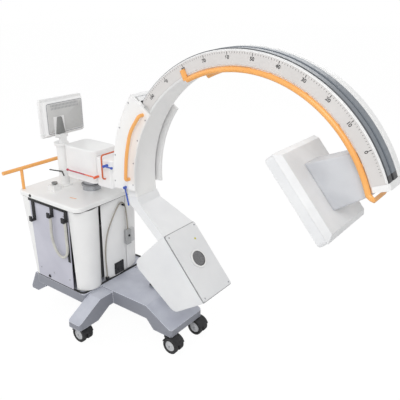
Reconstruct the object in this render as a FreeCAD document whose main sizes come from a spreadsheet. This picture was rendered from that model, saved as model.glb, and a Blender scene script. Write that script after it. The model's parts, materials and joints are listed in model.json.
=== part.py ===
import FreeCAD, Part
import math
import os
import Sketcher
from FreeCAD import Placement, Rotation, Vector

# Mobile C-arm x-ray stand. Millimetres, +Z up, +X from the cabinet towards the C, +Y away from the
# side that carries the cable loop. The origin is on the floor, under the middle of the whole stand.

SIZES = {
    # clearances, walls and edges
    "seat_gap": 0.3, "run_gap": 0.05, "edge_round": 3, "soft_edge": 8,
    # C profile: centre, rim radii, width and the angles of its two ends
    "c_centre_x": 371, "c_centre_z": 934, "rim_outer": 700, "rim_inner": 634, "c_width": 160, "c_wall": 8,
    "c_first_angle": 22, "c_last_angle": 188, "c_edge_bevel": 5, "root_wedge_degrees": 20,
    "scale_thick": 2, "scale_inner": 642, "scale_outer": 697, "scale_last_angle": 143,
    "track_middle": 24, "track_width": 98, "track_rise": 10, "track_seat": 6, "track_groove": 30,
    "track_groove_depth": 3, "duct_middle": -53, "duct_width": 44, "duct_rise": 8, "cap_degrees": 2.2,
    # rail handle
    "rail_radius": 12, "rail_centre": 621.5, "rail_side": 79, "rail_angle": 117, "rail_bend": 24,
    "rail_post_radius": 6, "rail_end_angle": 19.2, "rail_loop_x": 984, "rail_loop_z": 1119, "rail_foot_top": 670, "rail_foot_thick": 9, "rail_foot_width": 24,
    # beam direction, and the arm and tank at its lower end
    "beam_angle": 40.34, "beam_offset": 105, "arm_root_front": 535, "arm_root_front_up": 339,
    "arm_knee_front": 543, "arm_knee_front_up": 295, "arm_foot": 53, "arm_knee_back": 612,
    "arm_knee_back_up": 331, "arm_root_back": 591, "arm_root_back_up": 374,
    "tank_front": 470, "tank_half": 122, "tank_front_low": -80, "tank_front_high": 311,
    "tank_back_low_x": 786, "tank_back_low": -57, "tank_back_high_x": 702, "tank_back_high": 286,
    "tank_round": 45, "tank_wall": 16, "insert_depth": 165, "insert_length": 270, "insert_radius": 58,
    "insert_neck": 22, "insert_end": 34, "cover_thick": 12, "cover_inset": 3, "beam_hole_radius": 30,
    "turret_depth": 34, "turret_length": 196, "turret_half": 84, "turret_round": 24, "turret_wall": 6,
    "collimator_half": 60, "collimator_thick": 20,
    "window_radius": 30, "window_ring": 7, "window_recess": 1,
    # detector at the upper end of the beam
    "panel_front": 336, "panel_rim": 46, "panel_low": -103, "panel_high": 309, "panel_half": 189,
    "panel_back": 408, "panel_draft": 42, "panel_corner": 20, "plate_thick": 12, "plate_inset": 14,
    "plate_recess": 2, "arm_low": -8, "arm_high": 216, "arm_rim_low": 66, "arm_rim_high": 232,
    "arm_rim_near": 560, "arm_half": 64,
    # carriage and its handles
    "carriage_first": 143, "carriage_last": 184, "carriage_inner": 742, "carriage_outer": 762,
    "cheek_inner": 612, "cheek_gap": 15, "cheek_thick": 12, "carriage_back": -418, "neck_radius": 95,
    "neck_length": 90, "spindle_radius": 45, "spindle_length": 60, "roller_radius": 14, "roller_length": 22,
    "roller_axle": 5, "side_roller_place": 676, "side_roller_length": 10,
    "d_handle_radius": 9, "d_handle_reach": 26, "d_handle_top": 648, "d_handle_bulge": 662,
    "d_handle_waist": 652, "d_handle_foot": 648, "d_handle_first": 145.5, "d_handle_middle": 155,
    "d_handle_low": 167, "d_handle_last": 178.5,
    # column, head, reach beam and hub
    "column_x": -700, "column_radius": 47.5, "column_wall": 6, "column_top": 800, "column_foot": 238,
    "column_engaged": 40, "column_hole": 80, "collar_low": 846, "collar_radius": 80, "pin_radius": 30,
    "pin_length": 30, "head_back": -816, "head_front": -562, "head_half": 90, "head_low": 853,
    "head_high": 1042, "head_corner": 30, "beam_half": 42, "beam_half_high": 42, "beam_tail": -806,
    "beam_wall": 6, "hub_back": -560, "hub_front": -422, "hub_half": 88, "hub_low": 853, "hub_high": 1012,
    # handle and levers
    "u_handle_x": -480, "u_handle_radius": 4.5, "u_handle_side": 108, "u_handle_low": 903,
    "u_handle_high": 1040, "u_handle_bend": 14, "lever_radius": 4, "knob_radius": 7.5,
    "red_lever_rear": -767, "red_lever_front": -537, "red_lever_side": 112, "red_lever_z": 905,
    "blue_lever_x": -458, "blue_lever_side": 112, "blue_lever_z": 985, "blue_lever_length": 56,
    "low_lever_x": -304, "low_lever_z": 900, "low_lever_drop": 96, "low_lever_lean": 22,
    # cabinet
    "cabinet_rear": -975, "cabinet_half": 272, "cabinet_low": 244, "cabinet_high": 742, "cabinet_taper": 14,
    "panel_sheet": 4, "rear_round": 48, "rear_lean": 57, "panel_lean": 14, "lid_thick": 26, "lid_overhang": 8, "seal_thick": 6,
    "lid_front": -510, "lid_front_round": 42, "side_front": -600, "near_cover_x": -600,
    "near_cover_y": -177, "near_cover_radius": 95, "near_cover_sweep": 88, "near_cover_end": 58, "middle_cover_x": -815,
    "middle_cover_y": 12, "middle_cover_radius": 292, "middle_cover_sweep": 20, "far_cover_x": -684,
    "far_cover_y": 118, "far_cover_radius": 152, "far_cover_sweep": 90, "generator_rear": -880, "generator_front": -780, "generator_half": 200,
    "generator_high": 300, "rack_rear": -626, "rack_half": 100, "rack_high": 340, "motor_side": 130,
    "motor_radius": 45, "motor_high": 160, "gear_high": 30, "rack_front": -590, "seal_rim": 10,
    # base
    "beam_rear": -600, "beam_side": 138, "base_low": 155, "base_high": 238, "base_front": 8,
    "block_low": 101, "block_top": 142, "block_rear": -170, "block_front_low": -120, "block_slope": -40,
    "block_shoulder": 165, "foot_half": 400, "foot_x": -480, "foot_width": 96, "foot_end_high": 136,
    "foot_inner": 262, "foot_arch": 170, "foot_shoulder": 235, "foot_round": 14, "skirt_low": 180,
    "rear_foot_reach": 65, "rear_foot_run": 60, "rear_foot_root": 75, "rear_foot_shoulder": 10,
    "rear_foot_high": 122, "rear_foot_half": 262, "rear_foot_inner": 170, "boss_radius": 34,
    # casters
    "caster_side": 340, "caster_front_side": 110, "caster_rear_x": -880, "wheel_radius": 47,
    "wheel_width": 25, "wheel_spread": 46, "caster_trail": 22, "stem_radius": 9, "stem_length": 18,
    "hood_gap": 3, "hood_clearance": 1.5, "hood_thick": 3, "turntable_thick": 14, "wheel_bore": 6,
    # foot pedal and push bar
    "pedal_x": -280, "pedal_side": 60, "pedal_width": 60, "pedal_length": 34, "pedal_slot": 10,
    "pedal_depth": 20, "pedal_travel": 6, "pedal_thick": 9, "bar_x": -1012, "bar_z": 900, "bar_half": 372, "bar_radius": 11,
    "strut_side": 250, "strut_radius": 9,
    # monitor
    "monitor_x": -898, "monitor_z": 1180, "monitor_half": 150, "monitor_half_high": 110,
    "monitor_bezel": 18, "monitor_back": 30, "screen_thick": 4, "bezel_rim": 18, "shell_inset": 12,
    "shell_round": 14, "post_radius": 30, "monitor_post_x": -880, "stand_y": -50, "monitor_post_top": 1020,
    "yoke_thick": 14, "pivot_x": -862, "pivot_z": 1080, "pivot_radius": 5, "riser_half": 10,
    "riser_side": 20, "ear_thick": 12, "bracket_thick": 6, "bracket_half": 36, "bracket_top": 1190,
    # small fittings
    "hook_first": -904, "hook_second": -736, "hook_third": -612, "hook_long": 130, "hook_short": 66,
    "hook_width": 22, "hook_thick": 8, "hook_reach": 26, "hook_nose": 30, "trim_width": 18,
    "trim_thick": 3, "trim_low": 420, "trim_high": 720, "cable_radius": 8,
    "socket_front": -530, "socket_depth": 30, "socket_low_side": -14, "socket_high_side": 58,
    "socket_low": 254, "socket_high": 328, "cord_hook_side": 70, "cord_hook_low": 684, "cord_hook_front": -510,
    "switch_y": 105, "switch_back": -538, "switch_thick": 20, "switch_width": 36, "switch_low": 420,
    "switch_high": 95, "button_radius": 7, "button_depth": 10, "button_travel": 3, "gland_y": -72,
    "gland_front": -534, "gland_top": 262, "thin_cable_radius": 4, "stop_x": -850, "stop_y": -150, "stop_box": 28,
    "stop_high": 34, "stop_depth": 20, "stop_travel": 5, "stop_stem": 8, "stop_radius": 17,
}


class Size:
    """A length or an angle: its number now, and the text that ties a property to the sheet."""

    def __init__(self, number, text):
        self.number = float(number)
        self.text = text

    def __float__(self):
        return self.number

    def __add__(self, other):
        other = as_size(other)
        return Size(self.number + other.number, f"({self.text} + {other.text})")

    def __sub__(self, other):
        other = as_size(other)
        return Size(self.number - other.number, f"({self.text} - {other.text})")

    def __mul__(self, other):
        other = as_size(other)
        return Size(self.number * other.number, f"{self.text} * {other.text}")

    def __truediv__(self, other):
        other = as_size(other)
        return Size(self.number / other.number, f"{self.text} / ({other.text})")

    def __neg__(self):
        return Size(-self.number, f"(-1 * {self.text})")

    __radd__ = __add__
    __rmul__ = __mul__

    def __rsub__(self, other):
        return as_size(other) - self


class Sheet:
    """The driving sizes, each read as an attribute that carries its name."""


def as_size(value):
    return value if isinstance(value, Size) else Size(value, f"({float(value):g})")


def cosine(angle):
    angle = as_size(angle)
    return Size(math.cos(math.radians(angle.number)), f"cos({angle.text})")


def sine(angle):
    angle = as_size(angle)
    return Size(math.sin(math.radians(angle.number)), f"sin({angle.text})")


def make_sheet(doc):
    cells = doc.addObject("Spreadsheet::Sheet", "Sizes")
    sheet = Sheet()
    for row, (name, number) in enumerate(SIZES.items(), 1):
        cells.set(f"A{row}", name)
        cells.set(f"B{row}", str(number))
        cells.setAlias(f"B{row}", name)
        setattr(sheet, name, Size(number, f"Sizes.{name}"))
    doc.recompute()
    return sheet


doc = FreeCAD.newDocument("CArmStand")
s = make_sheet(doc)
nodes = []
PLANES = {"XY": 2, "XZ": 1, "YZ": 0}


def bind(thing, name, size):
    thing.setExpression(name, as_size(size).text)


def keep(thing, node):
    """Make a finished object one named sub-part of the stand."""
    thing.Label = node
    nodes.append(thing)
    return thing


def sketch_on(body, plane, loops, offset=0.0):
    """Closed outlines of straight edges on one of the body's own planes, every corner tied to the sheet."""
    sketch = body.newObject("Sketcher::SketchObject", body.Name + "Outline")
    support = [f for f in body.Origin.OriginFeatures if f.Role == plane + "_Plane"][0]
    sketch.AttachmentSupport = [(support, "")]
    sketch.MapMode = "FlatFace"
    along = -1 if plane == "XZ" else 1
    bind(sketch, "AttachmentOffset.Base.z", as_size(offset) * along)
    for loop in loops if isinstance(loops[0], list) else [loops]:
        add_loop(sketch, [(as_size(a), as_size(b)) for a, b in loop])
    return sketch


def add_loop(sketch, corners):
    """One closed outline in a sketch."""
    ends = [Vector(float(a), float(b), 0) for a, b in corners]
    lines = []
    for start, end in zip(ends, ends[1:] + ends[:1]):
        lines.append(sketch.addGeometry(Part.LineSegment(start, end)))
    for here, after in zip(lines, lines[1:] + lines[:1]):
        sketch.addConstraint(Sketcher.Constraint("Coincident", here, 2, after, 1))
    for line, (a, b) in zip(lines, corners):
        for kind, size in (("DistanceX", a), ("DistanceY", b)):
            mark = sketch.addConstraint(Sketcher.Constraint(kind, -1, 1, line, 1, float(size)))
            bind(sketch, f"Constraints[{mark}]", size)


def new_body(name, place=None):
    body = doc.addObject("PartDesign::Body", name)
    if place is not None:
        body.Placement = place
    return body


def pad(body, plane, points, low, high):
    """A straight solid on an outline, from low to high along the plane's row axis."""
    start = high if plane == "XZ" else low
    sketch = sketch_on(body, plane, points, start)
    feature = body.newObject("PartDesign::Pad", body.Name + "Pad")
    feature.Profile = sketch
    bind(feature, "Length", as_size(high) - low)
    doc.recompute()
    return feature


def pocket(body, plane, points, low, high):
    """Cut a straight outline out of a body, from low to high along the plane's row axis."""
    start = low if plane == "XZ" else high
    before = body.Shape.Volume
    sketch = sketch_on(body, plane, points, start)
    feature = body.newObject("PartDesign::Pocket", body.Name + "Pocket")
    feature.Profile = sketch
    bind(feature, "Length", as_size(high) - low)
    doc.recompute()
    if body.Shape.Volume > before - 1:
        raise ValueError(f"{body.Name}: the pocket cuts nothing")
    return feature


def turn(body, loops, first, last):
    """Turn a radial section about the body's Y axis, from one angle to another, counted from +X to +Z."""
    sketch = sketch_on(body, "XY", loops)
    feature = body.newObject("PartDesign::Revolution", body.Name + "Turn")
    feature.Profile = sketch
    feature.ReferenceAxis = (sketch, ["V_Axis"])
    feature.Reversed = True
    bind(feature, "Angle", as_size(last) - first)
    doc.recompute()
    return feature


def rectangle(left, right, low, high):
    return [(left, low), (right, low), (right, high), (left, high)]


def soften(body, radius, wanted):
    """Round the edges of a body that the test picks, in the body's own frame."""
    base = body.Tip
    names = [f"Edge{i + 1}" for i, edge in enumerate(base.Shape.Edges) if wanted(edge)]
    feature = body.newObject("PartDesign::Fillet", body.Name + "Round")
    feature.Base = (base, names)
    bind(feature, "Radius", radius)
    doc.recompute()
    return feature


def along(axis, shortest=0.0):
    """A test for straight edges that run along one axis."""
    def wanted(edge):
        if edge.Curve.TypeId != "Part::GeomLine" or edge.Length < shortest:
            return False
        return abs(abs(edge.tangentAt(edge.FirstParameter).dot(axis)) - 1) < 1e-6
    return wanted


X, Y, Z = Vector(1, 0, 0), Vector(0, 1, 0), Vector(0, 0, 1)


def box(name, low, high):
    """A Part box between two corners that are tied to the sheet."""
    solid = doc.addObject("Part::Box", name)
    for size, place, a, b in zip(("Length", "Width", "Height"), "xyz", low, high):
        bind(solid, size, as_size(b) - a)
        bind(solid, f"Placement.Base.{place}", a)
    return solid


def cylinder(name, centre, radius, length, direction=Z):
    """A Part cylinder that starts at its centre point and runs along a direction."""
    solid = doc.addObject("Part::Cylinder", name)
    bind(solid, "Radius", radius)
    bind(solid, "Height", length)
    solid.Placement = Placement(Vector(*[float(c) for c in centre]), Rotation(Z, direction))
    for place, c in zip("xyz", centre):
        bind(solid, f"Placement.Base.{place}", c)
    return solid


def joined(name, solids):
    fuse = doc.addObject("Part::MultiFuse", name)
    fuse.Shapes = solids
    return fuse


def cut(name, base, tool):
    result = doc.addObject("Part::Cut", name)
    result.Base = base
    result.Tool = tool
    return result


def group(name, solids):
    """Several separate solids that share one node."""
    compound = doc.addObject("Part::Compound", name)
    compound.Links = solids
    return compound


def solid_of(name, shape):
    feature = doc.addObject("Part::Feature", name)
    feature.Shape = shape
    return feature


def point(*numbers):
    return Vector(*[float(n) for n in numbers])


def bent_path(points, radii=None):
    """Straight runs joined by tangent arcs. Without radii, each arc is as large as its runs allow."""
    edges = []
    radii = list(radii) if radii is not None else [None] * (len(points) - 2)
    start = points[0]
    for before, corner, after, radius in zip(points, points[1:], points[2:], radii):
        back, ahead = (before - corner), (after - corner)
        turn_angle = math.pi - back.getAngle(ahead)
        if radius is None:
            radius = 0.45 * min(back.Length, ahead.Length) / math.tan(turn_angle / 2)
        trim = radius * math.tan(turn_angle / 2)
        back.normalize()
        ahead.normalize()
        first, last = corner + back * trim, corner + ahead * trim
        middle = back + ahead
        middle.normalize()
        middle = corner + middle * (radius / math.cos(turn_angle / 2) - radius)
        if (first - start).Length > 1e-6:
            edges.append(Part.LineSegment(start, first).toShape())
        edges.append(Part.Arc(first, middle, last).toShape())
        start = last
    edges.append(Part.LineSegment(start, points[-1]).toShape())
    return Part.Wire(edges)


def tube_along(path, radius):
    """A round bar along a path of lines and arcs."""
    first = path.Edges[0]
    here = first.valueAt(first.FirstParameter)
    ahead = first.tangentAt(first.FirstParameter)
    ring = Part.Wire([Part.Circle(here, ahead, float(radius)).toShape()])
    shape = path.makePipeShell([ring], True, False)
    whole = math.pi * float(radius) ** 2 * path.Length
    if abs(shape.Volume - whole) > 0.01 * whole:
        raise ValueError("a bar's volume is not its section times its length")
    return shape


def rod(start, end, radius):
    """A straight round bar between two points."""
    way = end - start
    return Part.makeCylinder(float(radius), way.Length, start, way)


def fused(shapes):
    whole = shapes[0].fuse(shapes[1:]) if len(shapes) > 1 else shapes[0]
    return whole.removeSplitter()


def arc_place(angle=0.0):
    """The C's centre, with X turned up to an angle in the C's plane."""
    return Placement(point(s.c_centre_x, 0, s.c_centre_z), Rotation(Vector(0, -1, 0), float(angle)))


def on_arc(radius, angle, side):
    """A point by its radius and angle in the C's plane and its Y."""
    a = math.radians(float(angle))
    return point(float(s.c_centre_x) + float(radius) * math.cos(a), side,
                 float(s.c_centre_z) + float(radius) * math.sin(a))


def in_beam(distance, offset, side):
    """A point by its distance along the beam from the C's centre, its offset down the panel and its Y."""
    b = math.radians(float(s.beam_angle))
    return point(float(s.c_centre_x) + float(distance) * math.cos(b) + float(offset) * math.sin(b), side,
                 float(s.c_centre_z) + float(distance) * math.sin(b) - float(offset) * math.cos(b))


RAIL_POSTS = 6
half_width = s.c_width / 2
beam_place = arc_place(s.beam_angle)


def make_c_profile():
    """The curved profile: a hollow section with a seat for the track round its rim."""
    body = new_body("CProfile", arc_place(s.c_first_angle))
    low = s.track_middle - s.track_width / 2
    high = s.track_middle + s.track_width / 2
    bevel = s.c_edge_bevel
    seat = s.rim_outer - s.track_seat
    outline = [
        (s.rim_inner + bevel, -half_width), (s.rim_outer - bevel, -half_width),
        (s.rim_outer, -half_width + bevel), (s.rim_outer, low), (seat, low), (seat, high),
        (s.rim_outer, high), (s.rim_outer, half_width - bevel), (s.rim_outer - bevel, half_width),
        (s.rim_inner + bevel, half_width), (s.rim_inner, half_width - bevel),
        (s.rim_inner, -half_width + bevel),
    ]
    wall = s.c_wall
    hollow = rectangle(s.rim_inner + wall, seat - wall, -half_width + wall, half_width - wall)
    turn(body, [outline, hollow], s.c_first_angle, s.c_last_angle)
    return keep(body, "c_profile")


def make_scales():
    """The printed scale strips let onto the two side faces of the profile."""
    strips = []
    for name, side in (("ScaleNear", -1), ("ScaleFar", 1)):
        body = new_body(name, arc_place(s.c_first_angle))
        near, far = half_width * side, (half_width + s.scale_thick) * side
        turn(body, rectangle(s.scale_inner, s.scale_outer, near, far), s.c_first_angle, s.scale_last_angle)
        strips.append(body)
    keep(group("ScaleStrips", strips), "scale_strips")


def make_track():
    """The slate running track let into the rim, with the groove its rollers run in."""
    body = new_body("OuterTrack", arc_place(s.c_first_angle))
    middle = s.track_middle
    low, high = middle - s.track_width / 2, middle + s.track_width / 2
    seat, top = s.rim_outer - s.track_seat, s.rim_outer + s.track_rise
    floor = top - s.track_groove_depth
    groove = s.track_groove / 2
    edge = s.edge_round
    outline = [
        (seat, low), (top - edge, low), (top, low + edge), (top, middle - groove), (floor, middle - groove),
        (floor, middle + groove), (top, middle + groove), (top, high - edge), (top - edge, high), (seat, high),
    ]
    turn(body, outline, s.c_first_angle, s.c_last_angle)
    return keep(body, "outer_track")


def make_duct_cover():
    """The white cover of the cable duct beside the track."""
    body = new_body("DuctCover", arc_place(s.c_first_angle))
    low, high = s.duct_middle - s.duct_width / 2, s.duct_middle + s.duct_width / 2
    top = s.rim_outer + s.duct_rise
    bevel = s.c_edge_bevel
    outline = [(s.rim_outer, low), (top - bevel, low), (top, low + bevel), (top, high - bevel),
               (top - bevel, high), (s.rim_outer, high)]
    turn(body, outline, s.c_first_angle, s.scale_last_angle)
    return keep(body, "cable_duct_cover")


def make_end_cap():
    """The moulded cap on the free end of the C."""
    first = s.c_first_angle - s.cap_degrees
    body = new_body("CEndCap", arc_place(first))
    top = s.rim_outer + s.track_rise
    bevel = s.soft_edge
    side = half_width + s.scale_thick
    outline = [
        (s.rim_inner + bevel, -side), (top - bevel, -side), (top, -side + bevel), (top, side - bevel),
        (top - bevel, side), (s.rim_inner + bevel, side), (s.rim_inner, side - bevel), (s.rim_inner, -side + bevel),
    ]
    turn(body, outline, first, s.c_first_angle)
    return keep(body, "c_end_cap")


def make_rail():
    """The rail handle: along both inner edges of the C on short posts, and in a loop round its free end."""
    start, end = float(s.rail_angle), float(s.rail_end_angle)
    radius, side = float(s.rail_centre), float(s.rail_side)
    pieces = []
    for side_sign in (-1, 1):
        y = side * side_sign
        middle = on_arc(radius, (start + end) / 2, y)
        arc = Part.Arc(on_arc(radius, start, y), middle, on_arc(radius, end, y)).toShape()
        pieces += [tube_along(Part.Wire([arc]), s.rail_radius), rail_foot(side_sign)]
        pieces.append(Part.makeSphere(float(s.rail_radius), on_arc(radius, end, y)))
        for post in range(RAIL_POSTS):
            angle = float(s.c_first_angle) + (start - float(s.c_first_angle)) * (post + 0.5) / RAIL_POSTS
            pieces.append(rod(on_arc(radius, angle, y * 0.92), on_arc(s.rim_inner + s.rail_post_radius, angle, y * 0.92),
                              s.rail_post_radius))
    x, z = s.rail_loop_x, s.rail_loop_z
    loop = [on_arc(radius, end, -side), point(x, -side, z), point(x, side, z), on_arc(radius, end, side)]
    pieces.append(tube_along(bent_path(loop, [float(s.rail_bend)] * 2), s.rail_radius))
    centre = point(s.c_centre_x, -half_width, s.c_centre_z)
    rim = Part.makeCylinder(float(s.rim_outer), float(s.c_width), centre, Y)
    rim = rim.cut(Part.makeCylinder(float(s.rim_inner), float(s.c_width), centre, Y))
    return keep(solid_of("RailHandle", fused(pieces).cut(rim)), "rail_handle")


def rail_foot(side_sign):
    """The flat foot that ends the rail on the C's side face, thin enough to pass through the carriage."""
    low, high = float(s.rail_centre), float(s.rail_foot_top)
    wide, thick = float(s.rail_foot_width), float(s.rail_foot_thick)
    face = float(half_width + s.scale_thick)
    start = face if side_sign > 0 else -face - thick
    foot = Part.makeBox(high - low, thick, wide, Vector(low, start, -wide / 2))
    foot.Placement = arc_place(s.rail_angle)
    return foot


def make_tube_arm():
    """The tube arm: from the root end of the C down to the tank's front corner."""
    body = new_body("TubeArm", beam_place)
    outline = [
        (-s.arm_root_front, s.arm_root_front_up), (-s.arm_knee_front, s.arm_knee_front_up),
        (-s.tank_front, -s.tank_front_low), (-s.tank_front - s.arm_foot, -s.tank_front_low),
        (-s.arm_knee_back, s.arm_knee_back_up), (-s.arm_root_back, s.arm_root_back_up),
    ]
    pad(body, "XZ", outline, -s.tank_half, s.tank_half)
    for side in (-1, 1):
        flare = [(s.tank_half * side, -s.tank_front_low), (half_width * side, s.arm_knee_front_up),
                 (half_width * side, s.arm_root_back_up * 2), (s.tank_half * side * 2, s.arm_root_back_up * 2),
                 (s.tank_half * side * 2, -s.tank_front_low)]
        pocket(body, "YZ", flare, -s.arm_knee_back * 2, as_size(0))
    trimmed = cut("TubeArmTrimmed", body, root_wedge("TubeArmWedge"))
    return keep(trimmed, "tube_arm")


def along_side_edges(edge):
    """The long edges of an arm's two side faces."""
    if edge.Curve.TypeId != "Part::GeomLine" or edge.Length < float(s.soft_edge) * 4:
        return False
    return abs(edge.tangentAt(edge.FirstParameter).y) < 1e-6


def root_wedge(name):
    """The space that the root end of the C takes: its own section, turned over its last few degrees."""
    body = new_body(name, arc_place(s.c_last_angle - s.root_wedge_degrees))
    outer = s.rim_outer + s.track_rise + s.soft_edge
    turn(body, [rectangle(s.rim_inner - s.soft_edge, outer, -s.tank_half, s.tank_half)],
         s.c_last_angle - s.root_wedge_degrees, s.c_last_angle)
    return body


def make_tank():
    """The tank's main shell with the hollow for the tube insert, its inner cover and the insert."""
    side = s.tank_half
    body = new_body("TankShell", beam_place)
    outline = [
        (-s.tank_front, -s.tank_front_low), (-s.tank_front, -s.tank_front_high),
        (-s.tank_back_high_x, -s.tank_back_high), (-s.tank_back_low_x, -s.tank_back_low),
        (-s.tank_front - s.arm_foot, -s.tank_front_low),
    ]
    pad(body, "XZ", outline, -side, side)
    soften(body, s.tank_round, lambda edge: along(Y)(edge) and edge.CenterOfMass.x < -float(s.arm_knee_back))
    pocket(body, "XZ", rectangle(-s.tank_front - s.insert_depth, -s.tank_front,
                                 -s.beam_offset - s.insert_length / 2, -s.beam_offset + s.insert_length / 2),
           -side + s.tank_wall, side - s.tank_wall)
    keep(body, "tank_shell")

    cover = new_body("TankInnerCover", beam_place)
    inset = s.cover_inset
    pad(cover, "YZ", rectangle(-side + inset, side - inset, -s.tank_front_high + inset, -s.tank_front_low - inset),
        -s.tank_front, -s.tank_front + s.cover_thick)
    soften(cover, s.soft_edge, along(X))
    hole = doc.addObject("Part::Cylinder", "CoverBeamHole")
    bind(hole, "Radius", s.window_radius + s.window_ring + s.seat_gap)
    bind(hole, "Height", s.cover_thick * 3)
    hole.Placement = Placement(in_beam(-s.tank_front - s.cover_thick, s.beam_offset, 0), Rotation(Z, beam_way()))
    keep(cut("TankInnerCoverHole", cover, hole), "tank_inner_cover")

    middle = -s.tank_front - s.turret_depth - s.insert_radius - s.edge_round
    down = in_beam(0, 1, 0) - in_beam(0, 0, 0)
    half = s.insert_length / 2
    start = in_beam(middle, s.beam_offset - half, 0)
    glass = start + down * float(s.insert_end)
    shape = Part.makeCylinder(float(s.insert_radius), float(s.insert_length - s.insert_end * 2), glass, down)
    shaft = Part.makeCylinder(float(s.insert_neck), float(s.insert_length), start, down)
    keep(solid_of("TubeInsert", fused([shape, shaft])), "xray_tube_insert")


def beam_way():
    return in_beam(1, 0, 0) - in_beam(0, 0, 0)


def make_turret():
    """The collimator behind the inner cover, hollow, with its blades, and the ring and window in the cover."""
    low, top = -s.tank_front - s.turret_depth, -s.tank_front
    middle = -s.beam_offset
    half, side = s.turret_length / 2, s.turret_half
    body = new_body("Turret", beam_place)
    pad(body, "YZ", rectangle(-side, side, middle - half, middle + half), low, top)
    soften(body, s.turret_round, along(X))
    wall = s.turret_wall
    pocket(body, "YZ", rectangle(-side + wall, side - wall, middle - half + wall, middle + half - wall),
           low, top - wall)
    hole = doc.addObject("Part::Cylinder", "TurretBeamHole")
    bind(hole, "Radius", s.beam_hole_radius)
    bind(hole, "Height", s.turret_depth * 2)
    hole.Placement = Placement(in_beam(low, s.beam_offset, 0), Rotation(Z, beam_way()))
    blades = new_body("Collimator", beam_place)
    reach = s.collimator_half
    pad(blades, "YZ", rectangle(-reach, reach, middle - reach, middle + reach), top - wall - s.collimator_thick,
        top - wall)
    gap = s.beam_hole_radius / 2
    pocket(blades, "YZ", rectangle(-gap, gap, middle - gap, middle + gap), top - wall - s.collimator_thick,
           top - wall)
    rise = s.cover_thick - s.window_recess
    seat = in_beam(top, s.beam_offset, 0)
    outer = Part.makeCylinder(float(s.window_radius + s.window_ring), float(rise), seat, beam_way())
    inner = Part.makeCylinder(float(s.window_radius), float(rise), seat, beam_way())
    ring = solid_of("WindowRing", outer.cut(inner))
    keep(joined("TurretJoined", [cut("TurretBored", body, hole), blades, ring]), "collimator_turret")
    disc = Part.makeCylinder(float(s.window_radius), float(rise - s.window_recess * 2), seat, beam_way())
    keep(solid_of("BeamWindow", disc), "beam_window")


def make_detector():
    """The flat detector: its arm from the C, rear shell, front frame and the plate in the frame."""
    side = s.panel_half
    low, high = -s.panel_high, -s.panel_low
    groove = s.panel_front + s.panel_rim
    frame = new_body("DetectorFrame", beam_place)
    pad(frame, "YZ", rectangle(-side, side, low, high), s.panel_front, groove)
    soften(frame, s.panel_corner, along(X))
    soften(frame, s.edge_round, lambda edge: edge.BoundBox.XMax < float(s.panel_front) + 0.01)
    inset = s.plate_inset
    pocket(frame, "YZ", rectangle(-side + inset, side - inset, low + inset, high - inset),
           s.panel_front, s.panel_front + s.plate_thick)
    keep(frame, "detector_frame")

    plate = new_body("DetectorPlate", beam_place)
    face = s.panel_front + s.plate_recess
    pad(plate, "YZ", rectangle(-side + inset, side - inset, low + inset, high - inset),
        face, s.panel_front + s.plate_thick)
    keep(plate, "detector_plate")

    shell = new_body("DetectorShell", beam_place)
    feature = pad(shell, "YZ", rectangle(-side, side, low, high), groove, s.panel_back)
    bind(feature, "TaperAngle", -s.panel_draft)
    doc.recompute()

    arm = new_body("DetectorArm", beam_place)
    rim = s.rim_inner + s.soft_edge
    outline = [(s.panel_back, -s.arm_low), (s.panel_back, -s.arm_high), (s.arm_rim_near, -s.arm_rim_high),
               (rim, -s.arm_rim_high), (rim, -s.arm_rim_low)]
    pad(arm, "XZ", outline, -s.arm_half, s.arm_half)
    soften(arm, s.soft_edge, along_side_edges)
    inside = doc.addObject("Part::Cylinder", "InsideOfC")
    bind(inside, "Radius", s.rim_inner)
    bind(inside, "Height", s.arm_half * 4)
    inside.Placement = Placement(point(s.c_centre_x, s.arm_half * 2, s.c_centre_z), Rotation(Z, -Y))
    trimmed = doc.addObject("Part::Common", "DetectorArmTrimmed")
    trimmed.Base, trimmed.Tool = arm, inside
    keep(joined("DetectorShellJoined", [shell, trimmed]), "detector_shell")


def make_carriage():
    """The carriage that the C runs through: housing with its neck, two cheeks and the rollers."""
    cheek_in = half_width + s.scale_thick + s.cheek_gap
    cheek_out = cheek_in + s.cheek_thick
    shell = new_body("CarriageShell", arc_place(s.carriage_first))
    turn(shell, [rectangle(s.carriage_inner, s.carriage_outer, -cheek_out, cheek_out)],
         s.carriage_first, s.carriage_last)
    neck = cylinder("CarriageNeck", (s.carriage_back, 0, s.c_centre_z), s.neck_radius,
                    s.neck_length, X)
    cheeks = []
    for name, side in (("CheekNear", -1), ("CheekFar", 1)):
        cheek = new_body(name, arc_place(s.carriage_first))
        near, far = cheek_in * side, cheek_out * side
        turn(cheek, [rectangle(s.cheek_inner, s.carriage_inner, near, far)], s.carriage_first, s.carriage_last)
        cheeks.append(cheek)
    spindle = cylinder("Spindle", (s.carriage_back - s.spindle_length, 0, s.c_centre_z), s.spindle_radius,
                       s.spindle_length, X)
    whole = joined("CarriageJoined", [shell, neck, spindle])
    hollow = doc.addObject("Part::Cylinder", "CarriageHollow")
    bind(hollow, "Radius", s.carriage_inner)
    bind(hollow, "Height", cheek_out * 3)
    hollow.Placement = Placement(point(s.c_centre_x, cheek_out * 1.5, s.c_centre_z), Rotation(Z, -Y))
    keep(joined("CarriageWhole", [cut("CarriageHousing", whole, hollow)] + cheeks), "carriage_housing")
    make_rollers(float(cheek_in))


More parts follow.
